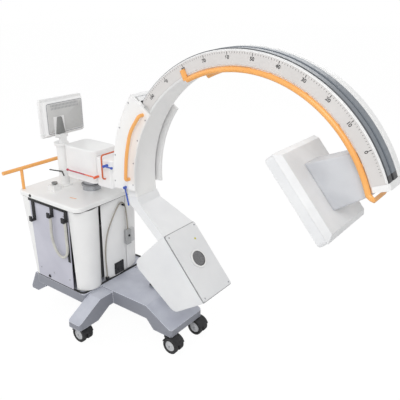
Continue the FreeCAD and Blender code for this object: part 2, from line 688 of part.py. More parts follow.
def make_rollers(cheek_in):
    """Four rollers on cross axles in the track's groove, and eight small ones beside the C's edges."""
    floor = s.rim_outer + s.track_rise - s.track_groove_depth + s.seat_gap
    solids = []
    for part in range(4):
        angle = s.carriage_first + (s.carriage_last - s.carriage_first) * (part + 0.5) / 4
        centre = on_arc(floor + s.roller_radius, angle, 0)
        half = float(s.roller_length) / 2
        roller = Part.makeCylinder(float(s.roller_radius), half * 2, centre + Y * (float(s.track_middle) - half), Y)
        axle = Part.makeCylinder(float(s.roller_axle), cheek_in * 2, centre - Y * cheek_in, Y)
        solids.append(fused([roller, axle]))
    small = float(s.cheek_gap - s.seat_gap * 2) / 2
    for angle in (s.carriage_first + 3, s.carriage_last - 3):
        for side in (-1, 1):
            for radius in (s.side_roller_place, s.side_roller_place + s.side_roller_length + s.seat_gap * 2):
                way = on_arc(1, angle, 0) - on_arc(0, angle, 0)
                start = on_arc(radius, angle, side * (cheek_in - float(s.cheek_gap) / 2))
                solids.append(Part.makeCylinder(small, float(s.side_roller_length), start, way))
    keep(solid_of("CarriageRollers", Part.makeCompound(solids)), "carriage_rollers")


def make_d_handles():
    """The orange grab handles on the two cheeks."""
    plate = half_width + s.scale_thick + s.cheek_gap + s.cheek_thick
    handles = []
    for side in (-1, 1):
        face = float(plate) * side
        out = float(plate + s.d_handle_reach) * side
        bends = [(s.d_handle_top, s.d_handle_first), (s.d_handle_bulge, s.d_handle_middle),
                 (s.d_handle_waist, s.d_handle_low), (s.d_handle_foot, s.d_handle_last)]
        points = [on_arc(*bends[0], face)] + [on_arc(*bend, out) for bend in bends] + [on_arc(*bends[-1], face)]
        handles.append(tube_along(bent_path(points), s.d_handle_radius))
    keep(solid_of("DHandles", Part.makeCompound(handles)), "d_handles")


def make_head():
    """The column head with the channel that the reach beam slides in, on the swivel pin of the column."""
    body = new_body("ColumnHead")
    half, middle = s.head_half, s.c_centre_z
    pad(body, "XY", rectangle(s.head_back, s.head_front, -half, half), s.head_low, s.head_high)
    soften(body, s.head_corner, along(Z))
    soften(body, s.soft_edge, lambda edge: edge.BoundBox.ZMin > float(s.head_high) - 0.01)
    gap = s.run_gap
    pocket(body, "YZ", rectangle(-s.beam_half - gap, s.beam_half + gap, middle - s.beam_half_high - gap,
                                 middle + s.beam_half_high + gap), s.beam_tail - s.seat_gap, s.head_front)
    bore = cylinder("HeadBore", (s.column_x, 0, s.head_low - 1), s.pin_radius + gap, s.pin_length + 1 + s.seat_gap)
    keep(cut("ColumnHeadBored", body, bore), "column_head")

    beam = new_body("ReachBeam")
    pad(beam, "YZ", rectangle(-s.beam_half, s.beam_half, middle - s.beam_half_high, middle + s.beam_half_high),
        s.beam_tail, s.hub_back)
    wall = s.beam_wall
    pocket(beam, "YZ", rectangle(-s.beam_half + wall, s.beam_half - wall, middle - s.beam_half_high + wall,
                                 middle + s.beam_half_high - wall), s.beam_tail, s.hub_back)
    keep(beam, "reach_beam")

    hub = new_body("RotationHub")
    pad(hub, "XY", rectangle(s.hub_back, s.hub_front, -s.hub_half, s.hub_half), s.hub_low, s.hub_high)
    soften(hub, s.head_corner, along(Z))
    soften(hub, s.soft_edge, lambda edge: edge.BoundBox.ZMin > float(s.hub_high) - 0.01)
    bore = cylinder("HubBore", (s.hub_front + 1, 0, middle), s.spindle_radius + gap,
                    s.spindle_length + s.seat_gap + 1, -X)
    keep(cut("RotationHubBored", hub, bore), "rotation_hub")


def make_column():
    """The two column tubes; the inner one ends in the swivel pin and its collar."""
    gap, x = s.run_gap, s.column_x
    outer_wall = s.column_radius + gap
    outer = cylinder("OuterTube", (x, 0, s.column_foot), outer_wall + s.column_wall, s.column_top - s.column_foot)
    flange = cylinder("OuterFlange", (x, 0, s.column_foot), outer_wall + s.column_wall * 4, s.column_wall * 2)
    bore = cylinder("OuterBore", (x, 0, s.column_foot - 1), outer_wall, s.column_top - s.column_foot + 2)
    motor = cylinder("LiftMotor", (x, s.motor_side, s.column_foot + s.gear_high), s.motor_radius, s.motor_high)
    gears = box("GearCase", (x - s.motor_radius, 0, s.column_foot),
                (x + s.motor_radius, s.motor_side + s.motor_radius, s.column_foot + s.gear_high))
    keep(cut("ColumnOuter", joined("OuterJoined", [outer, flange, motor, gears]), bore), "column_outer")
    bottom = s.column_foot + s.column_engaged
    tube = cylinder("InnerTube", (x, 0, bottom), s.column_radius, s.collar_low - bottom)
    collar = cylinder("Collar", (x, 0, s.collar_low), s.collar_radius, s.head_low - s.seat_gap - s.collar_low)
    pin = cylinder("SwivelPin", (x, 0, s.collar_low), s.pin_radius, s.head_low + s.pin_length - s.collar_low)
    hollow = cylinder("InnerBore", (x, 0, bottom - 1), s.column_radius - s.column_wall,
                      s.collar_low - bottom - s.column_wall)
    keep(cut("ColumnInner", joined("InnerJoined", [tube, collar, pin]), hollow), "column_inner")


def make_levers():
    """The U handle on the hub and the brake levers."""
    side, low, high = float(s.u_handle_side), float(s.u_handle_low), float(s.u_handle_high)
    x, face = float(s.u_handle_x), float(s.hub_half)
    points = [Vector(x, -face, low), Vector(x, -side, low), Vector(x, -side, high), Vector(x, side, high),
              Vector(x, side, low), Vector(x, face, low)]
    tight, wide = side - face - 1, float(s.u_handle_bend)
    handle = tube_along(bent_path(points, [tight, wide, wide, tight]), s.u_handle_radius)
    keep(solid_of("UHandle", handle), "u_handle")

    radius, knob = s.lever_radius, s.knob_radius
    y, z = -float(s.red_lever_side), float(s.red_lever_z)
    front, rear = float(s.red_lever_front), float(s.red_lever_rear)
    boss = rod(Vector(front, -float(s.hub_half + s.seat_gap), z), Vector(front, y - float(knob), z), knob)
    bar = rod(Vector(rear, y, z), Vector(front, y, z), radius)
    tip = Part.makeSphere(float(knob), Vector(rear, y, z))
    keep(solid_of("RedLever", fused([boss, bar, tip])), "brake_lever_red")

    y, z = -float(s.blue_lever_side), float(s.blue_lever_z)
    x = float(s.blue_lever_x)
    boss = rod(Vector(x, -float(s.hub_half + s.seat_gap), z), Vector(x, y - float(knob), z), knob)
    bar = rod(Vector(x, y, z), Vector(x + float(s.blue_lever_length), y, z), radius)
    tip = Part.makeSphere(float(knob), Vector(x + float(s.blue_lever_length), y, z))
    keep(solid_of("BlueLever", fused([boss, bar, tip])), "brake_lever_blue")

    face = float(half_width + s.scale_thick + s.cheek_gap + s.cheek_thick + s.seat_gap)
    x, z = float(s.low_lever_x), float(s.low_lever_z)
    top = Vector(x, -face - float(knob), z)
    bottom = top + Vector(float(s.low_lever_lean), 0, -float(s.low_lever_drop))
    boss = rod(Vector(x, -face, z), Vector(x, -face - 2 * float(knob), z), knob)
    keep(solid_of("LowLever", fused([boss, rod(top, bottom, radius)])), "brake_lever_carriage")


def rounded_slab(name, left, right, half, low, high, rear_round, front_round):
    """A flat slab in plan with its rear and front corners rounded to their own radii."""
    body = new_body(name)
    pad(body, "XY", rectangle(left, right, -half, half), low, high)
    middle = (float(left) + float(right)) / 2
    soften(body, rear_round, lambda edge: along(Z)(edge) and edge.CenterOfMass.x < middle)
    soften(body, front_round, lambda edge: along(Z)(edge) and edge.CenterOfMass.x > middle)
    return body


def upright(edge):
    """The upright and leaning edges of a cover, away from its level ones."""
    return edge.BoundBox.ZLength > float(s.cabinet_high - s.cabinet_low) / 2


def cover_sector(node, axis, top_radius, bottom_radius, first, last):
    """A bulging front cover: part of a tapered shell about its own upright axis."""
    body = new_body(node.title().replace("_", ""))
    body.Placement = Placement(point(axis[0], axis[1], 0), Rotation(Z, float(first)))
    wall = s.panel_sheet
    low, high = s.cabinet_low, s.cabinet_high
    outline = [(bottom_radius - wall, low), (bottom_radius, low), (top_radius, high), (top_radius - wall, high)]
    sketch = sketch_on(body, "XZ", outline)
    feature = body.newObject("PartDesign::Revolution", body.Name + "Turn")
    feature.Profile = sketch
    feature.ReferenceAxis = (sketch, ["V_Axis"])
    bind(feature, "Angle", as_size(last) - first)
    doc.recompute()
    return keep(body, node)


def make_cabinet():
    """The cabinet: lid and seals, side panels, rear cover, the bulging front covers and the chassis."""
    half, wall = s.cabinet_half, s.panel_sheet
    low, high = s.cabinet_low, s.cabinet_high
    rear_end = s.cabinet_rear + s.rear_round
    lid_low = high + s.seal_thick
    over = s.lid_overhang
    shaft = s.column_radius + s.run_gap + s.column_wall + s.seat_gap

    rear_top = s.cabinet_rear - s.rear_lean
    lid = rounded_slab("Lid", rear_top - over, s.lid_front, half + over, lid_low, lid_low + s.lid_thick,
                       s.rear_round, s.lid_front_round)
    soften(lid, s.soft_edge, lambda edge: edge.BoundBox.ZMin > float(lid_low + s.lid_thick) - 0.01)
    bored = cut("LidBored", lid, cylinder("LidBore", (s.column_x, 0, high), shaft, s.lid_thick * 2))
    keep(joined("LidJoined", [bored, make_stop_box()]), "cabinet_lid")
    seal = rounded_slab("LidSeal", rear_top, s.lid_front - over, half, high, lid_low,
                        s.rear_round - over, s.lid_front_round - over)
    seals = [cut("LidSealBored", seal, cylinder("SealBore", (s.column_x, 0, high - 1), shaft, s.seal_thick * 2))]
    lower = rounded_slab("LowerSeal", s.cabinet_rear, s.lid_front - over - s.cabinet_taper, half,
                         s.base_high, low, s.rear_round - over, s.lid_front_round - over)
    floor = rounded_slab("SealInside", s.cabinet_rear + s.seal_rim, s.lid_front - over - s.cabinet_taper - s.seal_rim,
                         half - s.seal_rim, s.base_high, low, s.rear_round - over - s.seal_rim,
                         s.lid_front_round - over - s.seal_rim)
    seals.append(cut("LowerSealOpen", lower, floor))
    keep(group("CabinetSeals", seals), "cabinet_seals")

    panels = []
    for name, side in (("PanelNear", -1), ("PanelFar", 1)):
        panel = new_body(name)
        front = s.side_front if side < 0 else s.far_cover_x
        outline = [(rear_end, low), (front - s.cabinet_taper, low), (front, high), (rear_end - s.panel_lean, high)]
        a, b = sorted((half * side, (half - wall) * side), key=float)
        pad(panel, "XZ", outline, a, b)
        panels.append(panel)
    keep(group("SidePanels", panels), "side_panels")

    rear = new_body("RearCover")
    outline = [(rear_end, low), (s.cabinet_rear, low), (rear_top, high), (rear_end - s.panel_lean, high)]
    pad(rear, "XZ", outline, -half, half)
    skin = wall * 2
    outline = [(rear_end, low), (s.cabinet_rear + skin, low), (rear_top + skin, high), (rear_end - s.panel_lean, high)]
    pocket(rear, "XZ", outline, -half + skin, half - skin)
    middle = (float(s.cabinet_rear) + float(rear_top)) / 2
    soften(rear, s.rear_round - over - skin, lambda edge: upright(edge) and abs(edge.CenterOfMass.x - middle - float(skin)) < 1)
    soften(rear, s.rear_round - over, lambda edge: upright(edge) and abs(edge.CenterOfMass.x - middle) < 1)
    keep(rear, "rear_cover")

    cover_sector("front_cover_near", (s.near_cover_x, s.near_cover_y), s.near_cover_radius,
                 s.near_cover_radius - s.cabinet_taper, -s.near_cover_sweep, s.near_cover_end)
    cover_sector("front_cover_middle", (s.middle_cover_x, s.middle_cover_y), s.middle_cover_radius,
                 s.middle_cover_radius - s.cabinet_taper, -s.middle_cover_sweep, s.middle_cover_sweep)
    cover_sector("front_cover_far", (s.far_cover_x, s.far_cover_y), s.far_cover_radius,
                 s.far_cover_radius - s.cabinet_taper, -6, s.far_cover_sweep)

    generator = box("Generator", (s.generator_rear, -s.generator_half, s.base_high),
                    (s.generator_front, s.generator_half, s.base_high + s.generator_high))
    rack = box("ControlRack", (s.rack_rear, -s.rack_half, s.base_high),
               (s.rack_front, s.rack_half, s.base_high + s.rack_high))
    keep(group("PowerUnits", [generator, rack]), "power_units")


def make_stop_box():
    """The small box for the stop button, moulded on the lid, with the button's well."""
    x, y, low = s.stop_x, s.stop_y, s.cabinet_high + s.seal_thick + s.lid_thick
    top = low + s.stop_high
    case = box("StopBoxCase", (x - s.stop_box, y - s.stop_box, low), (x + s.stop_box, y + s.stop_box, top))
    well = cylinder("StopWell", (x, y, top - s.stop_depth), s.stop_stem + s.run_gap, s.stop_depth * 2)
    return cut("StopBox", case, well)


def make_stop_button():
    """The stop button: its stem runs in the well of the box on the lid."""
    x, y, top = s.stop_x, s.stop_y, s.cabinet_high + s.seal_thick + s.lid_thick + s.stop_high
    stem = cylinder("StopStem", (x, y, top - s.stop_depth + s.stop_travel + s.seat_gap), s.stop_stem, s.stop_depth)
    head = cylinder("StopHead", (x, y, top + s.stop_travel + s.seat_gap), s.stop_radius, s.soft_edge)
    keep(joined("StopButton", [stem, head]), "stop_button")


def make_base():
    """The cast base: body under the cabinet, front beam and block, outrigger feet and rear feet."""
    side = s.beam_side
    beam = new_body("BaseBeam")
    outline = [
        (s.beam_rear, s.base_low), (s.block_rear, s.base_low), (s.block_front_low, s.block_low),
        (s.base_front, s.block_low), (s.base_front, s.block_top), (s.block_slope, s.block_shoulder),
        (s.block_rear, s.base_high), (s.beam_rear, s.base_high),
    ]
    pad(beam, "XZ", outline, -side, side)
    soften(beam, s.foot_round, along(Z))
    tray = rounded_slab("BaseTray", s.cabinet_rear - s.lid_overhang, s.lid_front - s.cabinet_taper, s.cabinet_half,
                        s.skirt_low, s.base_high, s.rear_round, s.foot_round)
    feet = new_body("Outriggers")
    outline = [
        (-s.foot_half, s.block_low), (-s.foot_inner, s.block_low), (-s.foot_arch, s.base_low),
        (s.foot_arch, s.base_low), (s.foot_inner, s.block_low), (s.foot_half, s.block_low),
        (s.foot_half, s.foot_end_high), (s.foot_shoulder, s.base_high - s.soft_edge),
        (-s.foot_shoulder, s.base_high - s.soft_edge), (-s.foot_half, s.foot_end_high),
    ]
    pad(feet, "YZ", outline, s.foot_x - s.foot_width / 2, s.foot_x + s.foot_width / 2)
    soften(feet, s.foot_round, along(Z))
    rear = new_body("RearFeet")
    foot_end, foot_root = s.cabinet_rear - s.rear_foot_reach, s.cabinet_rear + s.rear_foot_root
    outline = [
        (foot_end, s.block_low), (foot_end + s.rear_foot_run, s.block_low), (foot_root, s.base_low),
        (foot_root, s.base_high - s.soft_edge), (s.cabinet_rear - s.rear_foot_shoulder, s.base_high - s.soft_edge),
        (foot_end, s.rear_foot_high),
    ]
    pad(rear, "XZ", outline, -s.rear_foot_half, s.rear_foot_half)
    pocket(rear, "XY", rectangle(foot_end - 1, s.cabinet_rear - s.lid_overhang, -s.rear_foot_inner,
                                 s.rear_foot_inner), s.block_low - 1, s.base_high)
    boss = cylinder("RearBoss", (s.caster_rear_x - s.caster_trail, 0, s.block_low), s.boss_radius,
                    s.base_high - s.block_low)
    whole = joined("BaseJoined", [beam, tray, feet, rear, boss])
    bores = []
    for index, (x, y) in enumerate(caster_places()):
        bores.append(cylinder(f"StemBore{index}", (x - s.caster_trail, y, s.block_low - 1),
                              s.stem_radius + s.run_gap, s.stem_length + 1 + s.seat_gap))
    bores.append(cylinder("PedalSlot", (s.pedal_x, s.pedal_side, s.base_high - s.pedal_depth), s.pedal_slot,
                          s.pedal_depth * 2))
    keep(cut("BaseFrame", whole, joined("BaseBores", bores)), "base_frame")


def caster_places():
    """Where the wheels stand: two in front, one on each outrigger and one under the rear."""
    return [(as_size(0), -s.caster_front_side), (as_size(0), s.caster_front_side),
            (s.foot_x, -s.caster_side), (s.foot_x, s.caster_side), (s.caster_rear_x, as_size(0))]


CASTERS = ("front_near", "front_far", "side_near", "side_far", "rear")


def make_casters():
    """Five twin-wheel casters, each with a hooded fork on a stem and a pair of wheels on one axle."""
    radius, width, spread = float(s.wheel_radius), float(s.wheel_width), float(s.wheel_spread)
    tread, run = float(s.edge_round), float(s.run_gap)
    web = spread - width - 2 * float(s.hood_gap)
    for name, (x, y) in zip(CASTERS, caster_places()):
        hub = point(x, y, radius)
        stem_x = float(x - s.caster_trail)
        top = float(s.block_low - s.seat_gap)
        inner, outer = radius + float(s.hood_clearance), radius + float(s.hood_clearance + s.hood_thick)
        wide = spread + width
        hood = Part.makeCylinder(outer, wide, hub - Y * (wide / 2), Y)
        hood = hood.cut(Part.makeCylinder(inner, wide, hub - Y * (wide / 2), Y))
        keep_top = Part.makeBox(4 * outer, wide, outer, hub + Vector(-2 * outer, -wide / 2, radius * 0.3))
        plate = Part.makeCylinder(outer, web, hub - Y * (web / 2), Y)
        plate = plate.cut(Part.makeBox(4 * outer, web, outer, hub + Vector(-2 * outer, -web / 2, -1.3 * outer)))
        turntable = Part.makeCylinder(float(s.boss_radius), float(s.turntable_thick),
                                      Vector(stem_x, hub.y, top - float(s.turntable_thick)))
        turntable = turntable.cut(Part.makeCylinder(inner, wide, hub - Y * (wide / 2), Y))
        stem = Part.makeCylinder(float(s.stem_radius), float(s.stem_length), Vector(stem_x, hub.y, top))
        block = fused([hood.common(keep_top), plate, turntable, stem])
        bore = Part.makeCylinder(float(s.wheel_bore) + run, wide, hub - Y * (wide / 2), Y)
        keep(solid_of("Fork" + name.title(), block.cut(bore)), "caster_fork_" + name)
        section = [(0, 0), (radius - tread, 0), (radius, tread), (radius, width - tread), (radius - tread, width),
                   (radius * 0.72, width), (radius * 0.66, width - 5), (radius * 0.3, width - 5),
                   (radius * 0.26, width - 1), (0, width - 1)]
        face = Part.Face(Part.makePolygon([Vector(a, b, 0) for a, b in section + section[:1]]))
        wheel = face.revolve(Vector(), Y, 360)
        inside = spread / 2 - width / 2
        far = wheel.translated(hub + Y * inside)
        near = wheel.mirror(Vector(), Y).translated(hub - Y * inside)
        axle = Part.makeCylinder(float(s.wheel_bore), 2 * inside + 2, hub - Y * (inside + 1), Y)
        keep(solid_of("Wheels" + name.title(), fused([far, near, axle])), "caster_wheels_" + name)


def make_pedal():
    """The black foot brake pedal, on its round foot in the beam's top."""
    x, y, top = float(s.pedal_x), float(s.pedal_side), float(s.base_high)
    depth, gap = float(s.pedal_depth), float(s.seat_gap)
    travel = float(s.pedal_travel)
    low = top - depth + travel + gap
    foot = Part.makeCylinder(float(s.pedal_slot - s.run_gap), top + travel + 1 - low, Vector(x, y, low))
    tread = Part.makeBox(float(s.pedal_length), float(s.pedal_width), float(s.pedal_thick),
                         Vector(x - float(s.pedal_length) / 2, y - float(s.pedal_width) / 2, top + travel + gap))
    tread = tread.makeFillet(3, tread.Edges)
    keep(solid_of("BrakePedal", fused([foot, tread])), "brake_pedal")


def make_push_bar():
    """The orange push bar behind the cabinet, on two struts that stand on the lid."""
    x, z, half = float(s.bar_x), float(s.bar_z), float(s.bar_half)
    solids = [rod(Vector(x, -half, z), Vector(x, half, z), s.bar_radius)]
    foot = float(s.cabinet_high + s.seal_thick + s.lid_thick)
    for y in (-float(s.strut_side), float(s.strut_side)):
        solids.append(rod(Vector(x, y, foot), Vector(x, y, z), s.strut_radius))
    keep(solid_of("PushBar", fused(solids)), "push_bar")


def make_monitor():
    """The monitor on its post: yoke, bracket, rear shell, bezel and screen. It faces the rear."""
    x, z = s.monitor_x, s.monitor_z
    half, high = s.monitor_half, s.monitor_half_high
    lid_top = s.cabinet_high + s.seal_thick + s.lid_thick
    post_x, y = s.monitor_post_x, s.stand_y
    tube = cylinder("PostTube", (post_x, y, lid_top), s.post_radius, s.monitor_post_top - lid_top)
    foot = cylinder("PostFoot", (post_x, y, lid_top), s.post_radius * 1.5, s.soft_edge)
    pin = cylinder("PostPin", (post_x, y, lid_top), s.post_radius / 2, s.monitor_post_top + s.yoke_thick - lid_top)
    keep(joined("MonitorPost", [tube, foot, pin]), "monitor_post")

    yoke_low = s.monitor_post_top + s.seat_gap
    disc = cylinder("YokeDisc", (post_x, y, yoke_low), s.post_radius * 1.4, s.yoke_thick + s.edge_round)
    riser = box("YokeRiser", (s.pivot_x - s.riser_half, y - s.riser_side, yoke_low + s.yoke_thick),
                (s.pivot_x + s.riser_half, y + s.riser_side, s.pivot_z + s.riser_half))
    bore = cylinder("YokeBore", (post_x, y, yoke_low - 1), s.post_radius / 2 + s.run_gap, s.yoke_thick + 1)
    hole = cylinder("RiserHole", (s.pivot_x, y - s.riser_side - 1, s.pivot_z), s.pivot_radius + s.run_gap,
                    s.riser_side * 2 + 2, Y)
    keep(cut("MonitorYoke", joined("YokeJoined", [disc, riser]), joined("YokeHoles", [bore, hole])), "monitor_yoke")

    back = x + s.monitor_back / 2
    ear_low, ear_high = s.pivot_z - s.riser_half, s.pivot_z + s.riser_half
    inside = s.riser_side + s.seat_gap
    ears = []
    for name, a, b in (("EarNear", y - inside - s.ear_thick, y - inside),
                       ("EarFar", y + inside, y + inside + s.ear_thick)):
        ears.append(box(name, (back + s.bracket_thick, a, ear_low), (s.pivot_x + s.riser_half, b, ear_high)))
    plate = box("BracketPlate", (back, y - s.bracket_half, ear_low),
                (back + s.bracket_thick, y + s.bracket_half, s.bracket_top))
    pivot = cylinder("TiltPin", (s.pivot_x, y - inside - s.ear_thick, s.pivot_z), s.pivot_radius,
                     (inside + s.ear_thick) * 2, Y)
    front = x - s.monitor_back / 2
    shell = new_body("MonitorShell")
    pad(shell, "YZ", rectangle(-half + s.shell_inset, half - s.shell_inset, z - high + s.shell_inset,
                               z + high - s.shell_inset), front, back)
    soften(shell, s.shell_round, lambda edge: edge.BoundBox.XMin > float(back) - 0.01)
    keep(joined("MonitorBack", [shell] + ears + [plate, pivot]), "monitor_rear_shell")
    bezel = new_body("MonitorBezel")
    pad(bezel, "YZ", rectangle(-half, half, z - high, z + high), front - s.monitor_bezel, front)
    soften(bezel, s.soft_edge, along(X))
    rim = s.bezel_rim
    pocket(bezel, "YZ", rectangle(-half + rim, half - rim, z - high + rim, z + high - rim),
           front - s.monitor_bezel, front - s.monitor_bezel + s.screen_thick)
    keep(bezel, "monitor_bezel")
    glass = box("Screen", (front - s.monitor_bezel + s.screen_thick / 4, -half + rim, z - high + rim),
                (front - s.monitor_bezel + s.screen_thick, half - rim, z + high - rim))
    keep(glass, "monitor_screen")


def make_side_fittings():
    """The near side's cable hangers, trim and cable loop, and the front's sockets and hand switch."""
    face = -s.cabinet_half
    top = s.cabinet_high
    hooks = []
    for place, drop in ((s.hook_first, s.hook_long), (s.hook_second, s.hook_short), (s.hook_third, s.hook_short)):
        half = s.hook_width / 2
        stem = box("HookStem", (place - half, face - s.hook_thick, top - drop), (place + half, face, top))
        lip = box("HookLip", (place - half, face - s.hook_reach, top - drop),
                  (place + half, face - s.hook_thick, top - drop + s.hook_thick))
        nose = box("HookNose", (place - half, face - s.hook_reach - s.hook_thick, top - drop),
                   (place + half, face - s.hook_reach, top - drop + s.hook_nose))
        hooks += [stem, lip, nose]
    trim_front = s.side_front - s.cabinet_taper
    trim = box("PanelTrim", (trim_front - s.trim_width, face - s.trim_thick, s.trim_low),
               (trim_front, face, s.trim_high))
    keep(joined("CableHooks", hooks + [trim]), "cable_hooks")

    y = float(face) - float(s.hook_thick) - float(s.cable_radius) - float(s.seat_gap)
    route = [(-736, 675.8), (-736.5, 636), (-743, 590), (-740, 540), (-724, 492), (-698, 456), (-658, 443),
             (-624, 466), (-611, 508), (-612, 554), (-611.5, 602), (-612, 650), (-612, 675.8)]
    points = [Vector(a, y, b) for a, b in route]
    loop = tube_along(bent_path(points), s.cable_radius)
    keep(solid_of("SideCable", loop), "side_cable")


def cover_core(name, axis_x, axis_y, radius):
    """The solid inside one bulging cover's outer face, to seat a fitting on it."""
    core = doc.addObject("Part::Cone", name)
    bind(core, "Radius1", radius - s.cabinet_taper)
    bind(core, "Radius2", radius)
    bind(core, "Height", s.cabinet_high - s.cabinet_low)
    core.Placement = Placement(point(axis_x, axis_y, s.cabinet_low), Rotation())
    return core


def make_front_fittings():
    """The dark fittings on the front covers: socket panel, cord hook, switch clip and cord gland."""
    x, deep = s.socket_front, s.socket_depth
    sockets = box("SocketPlate", (x - deep, s.socket_low_side, s.socket_low), (x, s.socket_high_side, s.socket_high))
    hook = box("CordHook", (x - deep, s.cord_hook_side - s.hook_thick / 2, s.cord_hook_low),
               (s.cord_hook_front, s.cord_hook_side + s.hook_thick / 2, s.cord_hook_low + s.hook_thick))
    clip = box("SwitchClip", (x - deep, s.switch_y - s.hook_width / 2, s.switch_low + s.switch_high / 3),
               (s.switch_back, s.switch_y + s.hook_width / 2, s.switch_low + s.switch_high * 2 / 3))
    gland = box("CordGland", (x - deep * 2, s.gland_y - s.hook_thick, s.cabinet_low),
                (s.gland_front, s.gland_y + s.hook_thick, s.gland_top))
    cores = [cover_core("MiddleCore", s.middle_cover_x, s.middle_cover_y, s.middle_cover_radius),
             cover_core("FarCore", s.far_cover_x, s.far_cover_y, s.far_cover_radius)]
    pieces = joined("FrontPieces", [sockets, hook, clip, gland])
    keep(cut("FrontFittings", pieces, joined("CoverCores", cores)), "front_fittings")


def make_hand_switch():
    """The hand switch in its clip, its sprung button, and the cord that runs over the hook to its gland."""
    half = s.switch_width / 2
    body = new_body("HandSwitch")
    pad(body, "YZ", rectangle(s.switch_y - half, s.switch_y + half, s.switch_low, s.switch_low + s.switch_high),
        s.switch_back, s.switch_back + s.switch_thick)
    soften(body, s.soft_edge / 2, along(Z))
    face = s.switch_back + s.switch_thick
    middle = s.switch_low + s.switch_high * 0.6
    well = cylinder("SwitchWell", (face - s.button_depth, s.switch_y, middle), s.button_radius + s.run_gap,
                    s.button_depth * 2, X)
    keep(cut("HandSwitchBored", body, well), "hand_switch")
    button = cylinder("SwitchButton", (face - s.button_depth + s.button_travel + s.seat_gap, s.switch_y, middle),
                      s.button_radius, s.button_depth, X)
    keep(button, "hand_switch_button")

    start = point(s.switch_back + s.switch_thick / 2, s.switch_y, s.switch_low + s.switch_high)
    end = point(s.gland_front - s.hook_thick, s.gland_y, s.gland_top)
    route = [start, Vector(-528, 104, 560), Vector(-526, 98, 625), Vector(-523, 88, 678), Vector(-520, 66, 710),
             Vector(-517, 34, 706), Vector(-516, 4, 674), Vector(-518, -26, 630), Vector(-523, -54, 576),
             Vector(-530, -70, 516), Vector(-535, -76, 450), Vector(-540, -77, 384), end + Z * 56, end]
    cord = tube_along(bent_path(route), s.thin_cable_radius)
    keep(solid_of("SwitchCord", cord), "hand_switch_cord")


def build():
    make_c_profile()
    make_scales()
    make_track()
    make_duct_cover()
    make_end_cap()
    make_rail()
    make_tube_arm()
    make_tank()
    make_turret()
    make_detector()
    make_carriage()
    make_d_handles()
    make_head()
    make_column()
    make_levers()
    make_cabinet()
    make_base()
    make_casters()
    make_pedal()
    make_push_bar()
    make_monitor()
    make_side_fittings()
    make_stop_button()
    make_front_fittings()
    make_hand_switch()


def check_document():
    """Stop before anything is written if an object failed or a sub-part is empty or broken."""
    doc.recompute()
    for thing in doc.Objects:
        if "Invalid" in thing.State or "Error" in thing.State:
            raise ValueError(f"{thing.Label} failed: {thing.State}")
    for thing in nodes:
        if thing.Shape.isNull() or not thing.Shape.isValid():
            raise ValueError(f"{thing.Label} has no valid shape")


def write_parts():
    os.makedirs("parts", exist_ok=True)
    for thing in nodes:
        thing.Shape.exportStep(f"parts/{thing.Label}.step")
        box_now = thing.Shape.BoundBox
        print(f"{thing.Label:24s} {len(thing.Shape.Solids)} solids  "
              f"x {box_now.XMin:7.0f} {box_now.XMax:7.0f}  y {box_now.YMin:7.0f} {box_now.YMax:7.0f}  "
              f"z {box_now.ZMin:7.0f} {box_now.ZMax:7.0f}")


build()
check_document()
write_parts()
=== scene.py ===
import json
import math

import bpy
import numpy as np
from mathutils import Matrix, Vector


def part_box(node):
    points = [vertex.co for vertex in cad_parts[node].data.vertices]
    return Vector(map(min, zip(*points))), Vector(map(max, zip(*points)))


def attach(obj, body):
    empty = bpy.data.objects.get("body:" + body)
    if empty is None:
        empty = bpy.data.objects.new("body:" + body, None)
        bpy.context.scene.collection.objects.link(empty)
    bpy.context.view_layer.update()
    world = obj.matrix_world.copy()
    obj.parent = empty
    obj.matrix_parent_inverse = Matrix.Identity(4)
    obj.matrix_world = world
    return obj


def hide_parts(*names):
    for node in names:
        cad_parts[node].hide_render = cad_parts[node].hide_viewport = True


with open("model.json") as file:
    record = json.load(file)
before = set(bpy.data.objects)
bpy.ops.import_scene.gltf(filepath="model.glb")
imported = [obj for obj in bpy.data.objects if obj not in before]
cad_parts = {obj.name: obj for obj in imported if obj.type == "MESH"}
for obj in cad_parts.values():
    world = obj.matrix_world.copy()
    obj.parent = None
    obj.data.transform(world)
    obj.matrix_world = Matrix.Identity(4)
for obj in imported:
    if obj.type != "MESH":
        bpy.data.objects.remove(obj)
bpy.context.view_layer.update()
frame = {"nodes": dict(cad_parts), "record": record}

# Measures of the stand that several pieces share, in metres
C_CENTRE = np.array([0.371, 0.0, 0.934])
BEAM_ANGLE = math.radians(40.34)
BEAM_WAY = np.array([math.cos(BEAM_ANGLE), 0.0, math.sin(BEAM_ANGLE)])
BEAM_DOWN = np.array([math.sin(BEAM_ANGLE), 0.0, -math.cos(BEAM_ANGLE)])
NEAR_PANEL = -0.272
WHEEL_RADIUS = 0.047
SIDES = ((-1, "near"), (1, "far"))

# Camera, fitted to the photograph
CAMERA_AZIMUTH, CAMERA_ELEVATION = math.radians(37.08), math.radians(21.66)
CAMERA_PLACE = (1.5627, -1.9340, 1.8524)
SENSOR_WIDTH, LENS = 36, 47.12
FARTHEST_VIEW = 60


def photograph_camera():
    """Stand where the photograph was taken, right of and above the cabinet's near side, and look back along
    the direction of that azimuth and elevation."""
    level = math.cos(CAMERA_ELEVATION)
    back = Vector((math.sin(CAMERA_AZIMUTH) * level, -math.cos(CAMERA_AZIMUTH) * level,
                   math.sin(CAMERA_ELEVATION)))
    camera = bpy.data.objects.new("camera", bpy.data.cameras.new("camera"))
    bpy.context.scene.collection.objects.link(camera)
    camera.location = CAMERA_PLACE
    camera.rotation_mode = "QUATERNION"
    camera.rotation_quaternion = (-back).to_track_quat("-Z", "Y")
    camera.data.sensor_width = SENSOR_WIDTH
    camera.data.lens = LENS
    camera.data.clip_end = FARTHEST_VIEW
    bpy.context.scene.camera = camera


photograph_camera()

